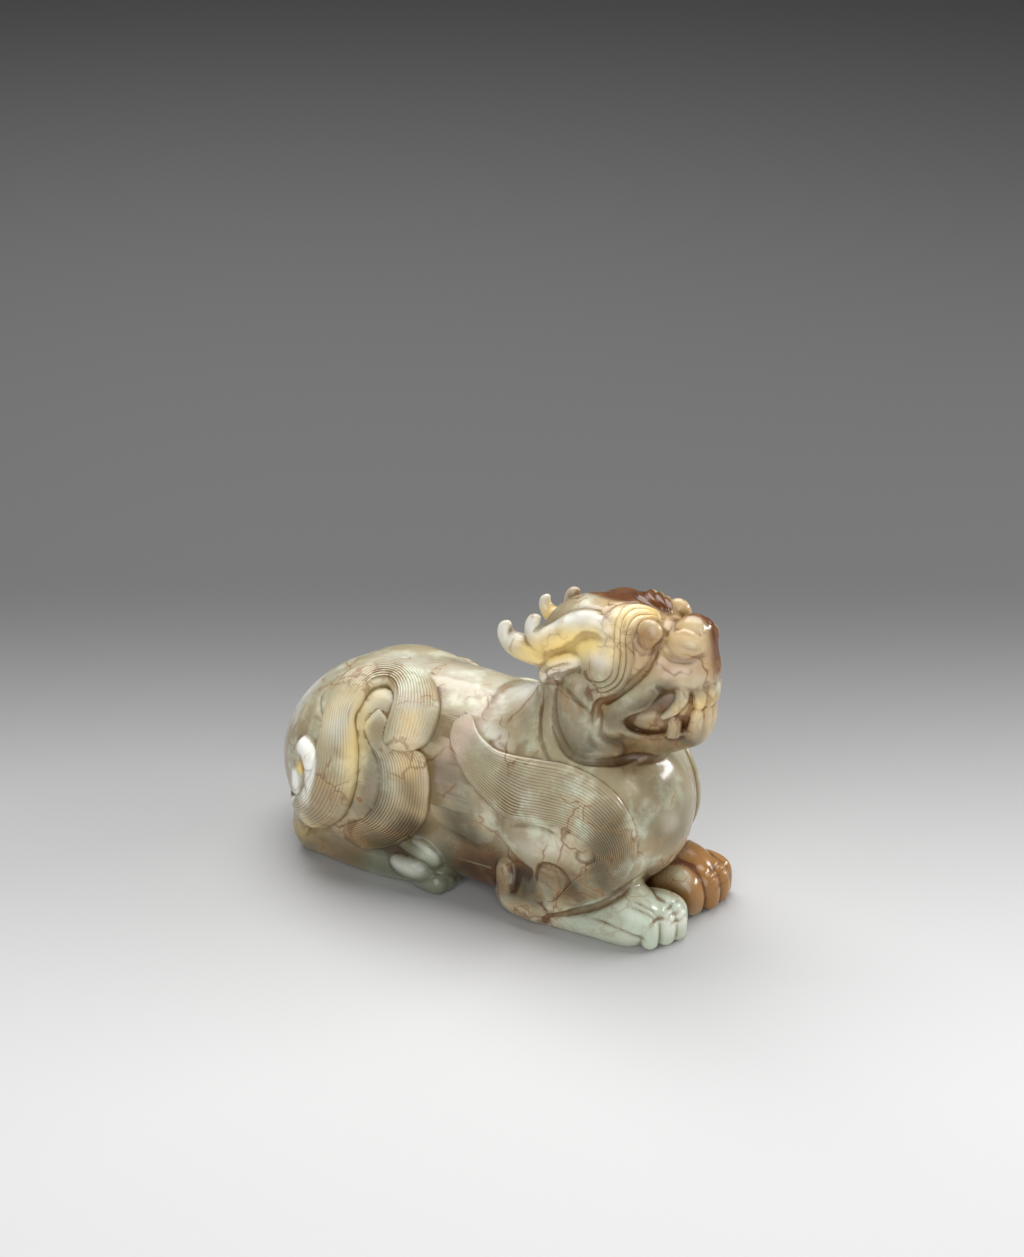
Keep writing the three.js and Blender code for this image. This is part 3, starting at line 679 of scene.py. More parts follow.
@dataclass
class BodyBands:
    """The ribbed bands of the body, each place given as x and its rise round the trunk in degrees."""

    shoulder: tuple = (
        ((-2.4, 61), (-1.5, 65)), ((-2.3, 51), (2.5, 58)), ((-1.1, 41.2), (6.5, 49)),
        ((4.3, 25), (12.6, 42.6)), ((11.6, 11.3), (19.5, 42.3)), ((18.8, 2.7), (27.4, 43.4)),
        ((27, 5.6), (35, 44.6)), ((34.5, 7.5), (42.3, 42.4)), ((39.5, 4.3), (47.2, 36.6)),
        ((43, -1.7), (51.5, 20)),
        ((44.7, -9.7), (52.8, -7.2)), ((43.5, -16.3), (51.8, -24)), ((41.3, -21.5), (50, -33.5)),
        ((38.8, -27), (46.5, -38.5)), ((36.5, -33), (42.5, -41.5)), ((33.3, -38.5), (37.5, -43.7)),
        ((29.5, -39.8), (32.3, -45)), ((26, -38.5), (27, -43.5)))
    fringe: tuple = (
        ((-26.5, 38.2), (-25, 49)), ((-25, 32), (-19, 41.2)), ((-22.5, 25), (-12.2, 32.1)),
        ((-19.8, 17.7), (-6.5, 26.8)), ((-18.4, 3.4), (-3.8, 12.3)), ((-19.3, -8.8), (-4.2, -3.7)),
        ((-21.3, -16.4), (-6.5, -18.7)), ((-24, -22.2), (-10.5, -31)), ((-28, -26.7), (-16, -36.5)),
        ((-32, -31.8), (-22.5, -39.1)), ((-35, -35.5), (-29, -40.9)))
    tail: tuple = (
        ((-48.5, -54), (-56.5, -53)), ((-45.5, -48), (-54.5, -43)), ((-42.3, -41.5), (-50, -33)),
        ((-35.7, -33.9), (-44.5, -21)), ((-28.8, -20.9), (-41.5, -11.3)), ((-25.2, -1.9), (-38.5, 2.4)),
        ((-25.3, 19.8), (-37.7, 21.1)), ((-28.2, 37.3), (-37.6, 45.8)), ((-27.7, 45.7), (-36, 65)),
        ((-26.9, 55.6), (-30.8, 87)), ((-24.1, 60.2), (-23.6, 87)), ((-20.8, 55.4), (-15.8, 78.6)),
        ((-19.5, 45.6), (-9.3, 65)), ((-19.3, 35.3), (-6.3, 51.9)), ((-18.6, 28.6), (-6.4, 36)),
        ((-16.6, 25.6), (-9.5, 28.3)), ((-13.5, 24.7), (-12, 25.1)))

    def lay(self, stone: Carving, side: Side, stations: tuple, **style: object) -> Band:
        """Lays the two edges of a band on the trunk."""
        inner = stone.lay_round(side, [station[0] for station in stations])
        outer = stone.lay_round(side, [station[1] for station in stations])
        return Band(inner, outer, **style)

    def bands(self, stone: Carving) -> Iterable[Band]:
        """The shoulder band and haunch fringe of each side, and the tail on the right haunch."""
        for side in Side:
            yield self.lay(stone, side, self.shoulder, ribs=19, rise=(0.3, 1.3),
                           fade=(5.0, 26.0), margin=(0.05, 0.09), taper=(7.0, 9.0), rounding=1.0)
            yield self.lay(stone, side, self.fringe, ribs=16, rise=(0.3, 1.7),
                           fade=(4.0, 12.0), taper=(5.0, 6.0), rounding=1.4)
        yield self.lay(stone, Side.RIGHT, self.tail, ribs=15, rise=(0.6, 0.6), crown=2.6,
                       margin=(0.24, 0.06), fade=(9.0, 7.0), taper=(16.0, 0.0), sink=3.0, rounding=1.6)

    def lines(self, stone: Carving) -> None:
        """Adds what lies over the bands: the boss, the lens in the fringe, ridges and curls."""
        for side in Side:
            s = side.value
            stone.crease(on_side(side, [
                (32.3 + 4.6 * math.cos(a), 22.5, 16.8 + 4.8 * math.sin(a)) for a in np.linspace(3.6, -2.2,
                10)]),
                0.7, 0.6)
            stone.crease(on_side(side, [
                (40.4, 23.5, 31.8), (42.3, 23.2, 31), (44.2, 22.7, 28.6), (44, 22.5, 25.6),
                (41.9, 22.9, 24.2), (40.2, 23.6, 25.2), (40.3, 23.6, 27.2), (41.8, 23.2, 27.6)]), 0.6, 0.5)
            stone.crease(on_side(side, [
                (39, 22.8, 18.6), (42.3, 22.3, 19.9), (44.9, 21.7, 21.8), (46.2, 21.8, 24.6)]), 0.5, 0.4)
            stone.crease(on_side(side, [
                (28, 21.8, 8.6), (33, 21.2, 9.6), (38, 20.9, 11.4), (43.4, 20.3, 15), (47.3, 19.5, 18.6)]),
                0.5, 0.4)
            stone.crease(on_side(side, [
                (20.6, 23.7, 29), (25.8, 24.3, 31), (31.1, 24.6, 31.4), (35.4, 24.4, 30.5)]), 0.7, 0.35)
            stone.crease(on_side(side, [
                (28, 21.6, 4.6), (32.6, 21.2, 6), (37.9, 20.8, 7.8), (43.4, 20.2, 10.5), (47.5, 18.5, 13.4),
                (49.7, 16, 15.4), (50.7, 14, 17.6), (51, 10, 19)]), 1.2, 1.0)
            stone.join(0.8, Egg((-20.8, s * 23.3, 30.8), (3.0, 2.2, 6.6)))
            stone.join(0.6, stone.lay_bar(on_side(side, [
                (-32.2, 24.5, 11.5), (-26.6, 25, 13.6), (-20.9, 24.9, 16.4), (-16.7, 24.6, 20.1),
                (-13.7, 24.2, 23.7), (-12, 24, 26)]), 0.8, 0.0, -0.9))
        stone.crease([
            (-41.3, -14.3, 48.9), (-42.5, -16.1, 47.2), (-41.6, -18.6, 45.5), (-39, -21, 44),
            (-37.1, -20.5, 45.7), (-37.5, -18.2, 48.2), (-41.3, -14.3, 48.9)], 0.5, 0.3)


@dataclass
class Head:
    """The skull, brows, nose and muzzle, the open mouth, the eyes and the teeth."""

    height: float = 76.0

    def skull(self, stone: Carving) -> None:
        """Joins the skull, temples, brow domes, the bulb of the nose with its flat front and the muzzle."""
        h = self.height
        stone.join(4, Egg((33, 0, h - 5), (17, 13.5, 16)))
        for side in Side:
            stone.join(3, Egg((37.5, side.value * 4.8, h + 0.5), (9.5, 8.2, 10)))
        stone.join(4, Roll([(43, 0, h - 0.5, 12), (50, 0, h - 0.5, 10.5), (57, 0, h - 0.5, 7.5)]))
        for side in Side:
            stone.join(2, Egg((43.8, side.value * 4.4, h + 5), (9.2, 7, 7.2), -6))
        stone.join(1.6, Egg((59.2, 0, h + 6.5), (5.4, 5.0, 5.7)))
        stone.join(1.8, Egg((60.6, 0, h + 2.6), (4.6, 5.0, 6.2)))
        stone.join(2, Egg((57.6, 0, h - 2.2), (8.3, 8.8, 6.4)))

    def jaw(self, stone: Carving) -> None:
        """Joins the round lower jaw, cuts the mouth round its rim and sets the teeth."""
        stone.join(3, Roll([(38, 0, 57, 12), (48, 0, 56.5, 9.2), (58, 0, 58.3, 6.3)]))
        stone.cut(0.6, Egg((67, 0, 65.5), (22, 25, 4.4), 14))
        stone.cut(0.6, Egg((52, 0, 60.8), (7.8, 25, 4.2), 14))
        stone.join(0.8, Egg((49.5, 0, 63), (13.5, 9.9, 9), 14))
        for side in Side:
            for y, x in ((1.3, 64.2), (3.9, 63)):
                stone.join(0.7, bar(side, [(x - 1.5, y, 72, 1.7), (x, y, 69.5, 1.8),
                    (x, y, 66.6, 1.6)]))
                stone.join(0.7, bar(side, [
                    (x - 1.8, y, 58, 2), (x - 0.9, y, 61, 1.9), (x - 0.6, y, 63.8, 1.6)]))

    def cheek(self, stone: Carving, side: Side) -> None:
        """Joins the fold that runs from the nose round the mouth to the jaw."""
        stone.join(1.5, bar(side, [
            (59.5, 5.5, 74.5, 2.8), (55.5, 7.5, 73.5, 3.4), (49.5, 9, 68.7, 3.6), (43.3, 9.5, 62, 3.4),
            (41.7, 9.5, 57.5, 3.2)]))

    def features(self, stone: Carving, side: Side) -> None:
        """Sets one eye, the wing of the nose and the fangs."""
        s = side.value
        stone.join(0.3, Egg((50.4, s * 7.4, 83.2), (3.8, 2.6, 4.6), -15))
        stone.join(1.0, Egg((58.6, s * 4.3, 81.6), (5.2, 3.0, 3.5), 10))
        stone.join(0.5, bar(side, [
            (59.4, 6.6, 71.5, 2.0), (60, 7.6, 68.6, 1.7), (58.4, 8.8, 65.6, 1.4), (56, 9.4, 63.4, 0.8)]))
        stone.join(0.5, bar(side, [(57.5, 6.6, 58.5, 2), (57.8, 6.8, 61, 1.8),
            (57.2, 6.8, 62.6, 1.2)]))

    def carve(self, stone: Carving) -> None:
        """Joins skull, jaw and cheeks."""
        self.skull(stone)
        self.jaw(stone)
        for side in Side:
            self.cheek(stone, side)

    def brow(self, side: Side) -> Band:
        """The brow: three round ribs from the bridge of the nose over the eye and down to the cheek."""
        inner = [(51.8, 2.6, 85.6), (50.6, 4.3, 86.2), (49.8, 6.3, 86.9), (48.6, 8.0, 86.6),
            (47.7, 9.0, 84.9),
                 (47.2, 9.4, 82), (47.8, 10.3, 78.9), (48, 11.3, 75.5), (46.6, 11.3, 71.3),
                 (44.1, 11.4, 68.1), (41.1, 11.6, 65.8), (38.6, 12.4, 64.8)]
        outer = [(50.6, 0.9, 86.3), (47.8, 1.0, 87.6), (44.8, 1.8, 88.3), (42.5, 4.0, 88.3), (41.9, 7, 87.6),
                 (42.6, 10.2, 84.8), (43.3, 12.1, 80.2), (43.4, 12.8, 76.1), (42.8, 12.8, 73),
                 (40.9, 12.9, 70.8), (38.6, 13.2, 70), (36.8, 13.5, 70.6)]
        return Band(np.array(on_side(side, inner)), np.array(on_side(side, outer)), ribs=3, groove=0.7,
                    rise=(0.9, 0.9), margin=(0.03, 0.03), fade=(2.0, 3.0), taper=(1.5, 3.5), spacing=0.6,
                    sink=1.6, rounding=0.5, roundness=0.9)

    def lines(self, stone: Carving, side: Side) -> None:
        """Cuts the furrows of one half of the face and raises the rims of lip, nostril and nose."""
        stone.crease(on_side(side, [
            (51.6, 0.6, 86), (52.5, 4.5, 84.8), (53.5, 8.2, 82), (52.3, 10.1, 77.2), (49.5, 10.9, 73),
            (44.9, 11.6, 68), (41.3, 11.6, 65.1), (39.3, 12, 64), (38.5, 12.9, 61.4), (38.8, 13.7, 58.1),
            (39.7, 13.3, 55.4)]), 1.1, 0.95)
        stone.crease(on_side(side, [(30.8, 15.3, 68), (32.6, 15.5, 66.4), (35.1, 15.4, 64.7),
            (38, 13.4, 61.4)]), 0.7, 0.6)
        stone.crease(on_side(side, [
            (43.9, 12.6, 76.5), (44.2, 12.3, 72.6), (42.2, 12.5, 70.4), (39.6, 13, 69.6), (36.8, 13.6, 70.4),
            (36, 13.8, 72.4), (37.2, 13.7, 73.6)]), 0.5, 0.4)
        stone.crease(on_side(side, [
            (36.5, 11.5, 86), (38, 8, 87.5), (39.5, 4, 88.3), (42.5, 1.2, 88.8), (47, 0.6, 88)]), 0.6, 0.4)
        stone.ridge(on_side(side, [
            (53.4, 11.7, 70), (52.4, 12, 70.6), (53, 11.9, 71.8), (54.4, 11.4, 71.8), (55.1, 11, 70.2),
            (54.6, 11, 67.6), (53, 11, 65.6), (50.3, 11.3, 63.6), (47.3, 11.8, 62), (44.6, 12.2, 60.8)]),
            0.6, 0.5)
        stone.crease(on_side(side, [(54.9, 11.2, 72.6), (56.2, 9.6, 70.8), (57, 8.6, 68.8)]), 0.5, 0.4)
        stone.ridge(on_side(side, [
            (44.6, 12.1, 58.4), (46, 10.8, 56.4), (49.5, 9.6, 55.6), (54, 8.9, 56.9), (58.4, 7.2, 58.2),
            (62, 5.4, 58.6)]), 0.5, 0.3)
        stone.crease(on_side(side, [
            (53.6, 7.2, 83.4), (54.4, 7.9, 80.4), (57.5, 7.6, 78.4), (61.2, 6.2, 78.6), (63.4, 4.4, 80.4)]),
            0.6, 0.3)
        stone.ridge(on_side(side, [
            (54, 6.5, 82.6), (54.8, 5.6, 84.4), (57.6, 4.9, 85.5), (60.8, 4.7, 85.4), (63, 3.9, 84)]),
            0.5, 0.3)
        stone.crease(on_side(side, [(58.8, 7.6, 82.9), (60.4, 7.3, 82.2), (62.3, 6.2, 81.8),
            (63.6, 4.8, 82.2)]), 0.5, 0.4)
        stone.ridge(on_side(side, [(61, 0.6, 88.2), (62.4, 2.1, 86.8), (63.4, 3.1, 84.8), (63, 4, 83.6)]),
            0.5, 0.3)


@dataclass
class Mane:
    """The ruff behind the jaw, the ears and the four hooked locks."""

    lock_spread: float = 9.8
    upper: Stops = ((39.5, 83.2, 2.4), (36.5, 84.4, 2.9), (33.4, 83.8, 3.4), (30, 81.5, 3.9),
        (25.6, 77.8, 3.9),
                    (21.8, 76.2, 3.4), (19.1, 77.3, 2.5), (18.4, 79.2, 2.1), (18.8, 80.9, 1.7),
                    (19.6, 81.6, 1.1))
    lower: Stops = ((29, 72.8, 3.8), (23.9, 72.6, 3.8), (19.4, 72.6, 3.7), (14.8, 72.8, 3.3),
        (11.9, 73.7, 2.7),
                    (10.5, 75.3, 2.2), (10.3, 76.9, 1.8), (10.9, 77.8, 1.2))

    def lock(self, side: Side, stops: Stops, share: float = 1.0) -> Roll:
        """A lock that runs back from the head and turns up into a short hook.

        Args:
            side: right or left.
            stops: x, z and radius of each stop.
            share: by how much its thickness is reduced.
        """
        drop = 0 if side is Side.RIGHT else 1.6
        return Roll([(x, side.value * self.lock_spread, z - drop * smooth(20, 32, x), radius * share)
                     for x, z, radius in stops])

    def carve(self, stone: Carving, side: Side) -> None:
        """Joins one half of the mane: the ruff, the ear and the two locks."""
        stone.join(1, bar(side, [
            (33, 11, 69, 3.6), (32.4, 12, 63.5, 4.6), (33.2, 12, 58.5, 5), (35, 11, 52.5, 4.6),
            (40, 9, 49, 4)]))
        stone.join(0.8, bar(side, [
            (36, 11, 63, 2.4), (37, 11.3, 58.5, 3), (38.5, 10.8, 54, 2.8), (42, 9.5, 51, 2.4)]))
        stone.join(0.5, bar(side, [
            (36, 11.4, 75, 1.4), (31.5, 12.4, 74, 2.4), (27.4, 12.7, 71.8, 2.5), (24.2, 12.4, 69, 1.9),
            (23.2, 12, 66.8, 1.2)]))
        stone.join(0.8, self.lock(side, self.upper))
        stone.join(0.8, self.lock(side, self.lower, 1.0 if side is Side.RIGHT else 0.8))

    def lines(self, stone: Carving, side: Side) -> None:
        """Undercuts the ruff, splits the ear and curls its lower edge."""
        stone.crease(on_side(side, [
            (27.4, 13.6, 65), (26.6, 13.2, 59.2), (27.7, 14.2, 54.8), (30.1, 15.2, 52), (33.5, 16.4, 50),
            (38, 15.8, 48.8), (42, 13, 48.3), (46, 9, 48.6), (50.2, 5, 49.4), (51.5, 0, 48.8)]), 1.3, 1.1)
        stone.crease(on_side(side, [(23.6, 13, 68.4), (26.2, 14.3, 71.2), (30.4, 14.6, 73.6),
            (33, 14, 74.4)]), 0.5, 0.45)
        stone.ridge(on_side(side, [
            (31.2, 14.9, 71.4), (29.4, 14.8, 71.8), (27.4, 14.8, 71), (26.4, 14.5, 69.4), (27.4, 14.4, 68.2),
            (28.8, 14.6, 68.8)]), 0.7, 0.55)
        stone.crease(on_side(side, [
            (21.6, 11, 63), (21.8, 12.4, 57.5), (23.6, 15, 52), (27.4, 17.6, 48), (32, 19, 45.4)]), 1.0, 0.6)
        stone.crease(on_side(side, [(29.6, 15, 70), (29, 14.8, 68.2), (27.4, 14.2, 67), (25, 13.4, 66)]),
            0.5, 0.45)


@dataclass
class Beast:
    """The whole carving in one piece of stone."""

    trunk: Trunk = field(default_factory=Trunk)
    legs: Legs = field(default_factory=Legs)
    bands: BodyBands = field(default_factory=BodyBands)
    head: Head = field(default_factory=Head)
    mane: Mane = field(default_factory=Mane)

    low: tuple = (-66.0, -33.0, -2.0)
    high: tuple = (70.0, 31.0, 93.0)
    facets: int = 90000

    def rump_curl(self, stone: Carving) -> None:
        """Joins the small claw-shaped curl behind the tail and parts its two arms."""
        stone.join(0.6, Roll([
            (-42, -22, 15, 1.6), (-41.3, -23.4, 22, 2.2), (-40.4, -24, 28, 2.7), (-40.3, -23.4, 32.4, 3.6),
            (-42.8, -22.3, 34, 3.3), (-45.2, -21.6, 31.6, 2.5), (-46.1, -21.4, 29.4, 1.9)]))
        stone.join(0.8, Roll([(-47, -21, 26.4, 1.9), (-46.6, -21.6, 22, 2.2), (-44.6, -21.8, 16, 1.5)]))
        stone.cut(0.6, Egg((-43.6, -25.2, 29), (1.3, 1.6, 1.9)))

    def carve(self) -> tuple[Carving, list[Mesh]]:
        """Carves the forms, lays the bands on them and then draws the finer lines."""
        stone = Carving()
        self.trunk.carve(stone)
        self.legs.carve(stone)
        body_bands = [band.build(stone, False) for band in self.bands.bands(stone)]
        self.rump_curl(stone)
        self.bands.lines(stone)
        self.legs.lines(stone)
        self.head.carve(stone)
        brows = [self.head.brow(side).build(stone, False) for side in Side]
        for side in Side:
            self.head.features(stone, side)
            self.mane.carve(stone, side)
            self.head.lines(stone, side)
            self.mane.lines(stone, side)
        return stone, body_bands + brows

    def build(self) -> bpy.types.Object:
        """Skins the stone, thins it, settles it and joins the bands to it."""
        stone, bands = self.carve()
        LOG.info("carved %d strokes and %d bands", len(stone.strokes), len(bands))
        skin = Skin(stone, FINE_STEP, self.low, self.high).mesh()
        LOG.info("skinned with %d quads", len(skin.quads))
        piece = skin.to_object("jade_carving")
        thin(piece, self.facets)
        points = read_points(piece.data) / MM + MIDDLE
        points, outward = stone.settle(points, 2)
        piece.data.vertices.foreach_set("co", ((points - MIDDLE) * MM).astype(np.float32).ravel())
        piece.data.update()
        for number, band in enumerate(bands):
            join_solid(piece, band.to_object(f"band_{number}"))
            LOG.info("joined band %d: %d faces", number, len(piece.data.polygons))
        piece.data.shade_smooth()
        piece.data.set_sharp_from_angle(angle=math.radians(50))
        relief = Relief(piece.data, stone)
        relief.paint(piece.data)
        Tones().paint(piece.data, relief.points)
        return piece


def read_points(mesh: bpy.types.Mesh) -> np.ndarray:
    """Reads a mesh's corners as rows."""
    values = np.empty(len(mesh.vertices) * 3, np.float32)
    mesh.vertices.foreach_get("co", values)
    return values.reshape(-1, 3).astype(float)


def settle_modifiers(piece: bpy.types.Object) -> None:
    """Makes a piece's modifiers part of its mesh."""
    graph = bpy.context.evaluated_depsgraph_get()
    mesh = bpy.data.meshes.new_from_object(piece.evaluated_get(graph))
    piece.modifiers.clear()
    old = piece.data
    piece.data = mesh
    bpy.data.meshes.remove(old)


def thin(piece: bpy.types.Object, facets: int) -> None:
    """Collapses edges where the surface is flattest until about so many triangles are left."""
    triangles = sum(len(p.vertices) - 2 for p in piece.data.polygons)
    if triangles <= facets:
        return
    step = piece.modifiers.new("thin", "DECIMATE")
    step.ratio = facets / triangles
    step.use_collapse_triangulate = True
    settle_modifiers(piece)


def join_solid(piece: bpy.types.Object, other: bpy.types.Object) -> None:
    """Joins another closed solid to a piece and removes it."""
    step = piece.modifiers.new("join", "BOOLEAN")
    step.operation = "UNION"
    step.solver = "MANIFOLD"
    step.object = other
    settle_modifiers(piece)
    bpy.data.objects.remove(other)


class Tone(Enum):
    """The tones beside the stone's celadon ground, in the order in which they lie over it."""

    TAN = 0
    ROSE = 1
    GREEN = 2
    # Umber: the stone's dark olive-brown, also used as painted shade on lower parts, under the jaw and in the
    # mouth.
    UMBER_AND_SHADE = 3
    # Pale: light stone, and also painted sheen on top of the back and a painted highlight on the rump curl.
    PALE_AND_SHEEN = 4
    # Honey: yellow stone, and also a painted highlight on top of the left forepaw.
    HONEY_AND_HIGHLIGHT = 5
    AMBER = 6
    BROWN = 7


@dataclass(frozen=True)
class Tint:
    """Where one tone shows: inside some shapes, fading over so many millimetres at their edge."""

    tone: Tone
    strength: float
    fade: float
    shapes: tuple[Shape, ...]

    def amount(self, points: np.ndarray) -> np.ndarray:
        """Strength times a smooth fall from inside to outside, the largest over the shapes."""
        depth = np.min([shape.distance(points) for shape in self.shapes], axis=0)
        return self.strength * (1 - smooth(-self.fade, self.fade, depth))


def tint(tone: Tone, strength: float, fade: float, *paths: Stops) -> Tint:
    """A tint along paths with x, y, z and a radius at every stop. One stop is a ball."""
    shapes = (Roll(path) if len(path) > 1 else Egg(path[0][:3], path[0][3:] * 3) for path in paths)
    return Tint(tone, strength, fade, tuple(shapes))


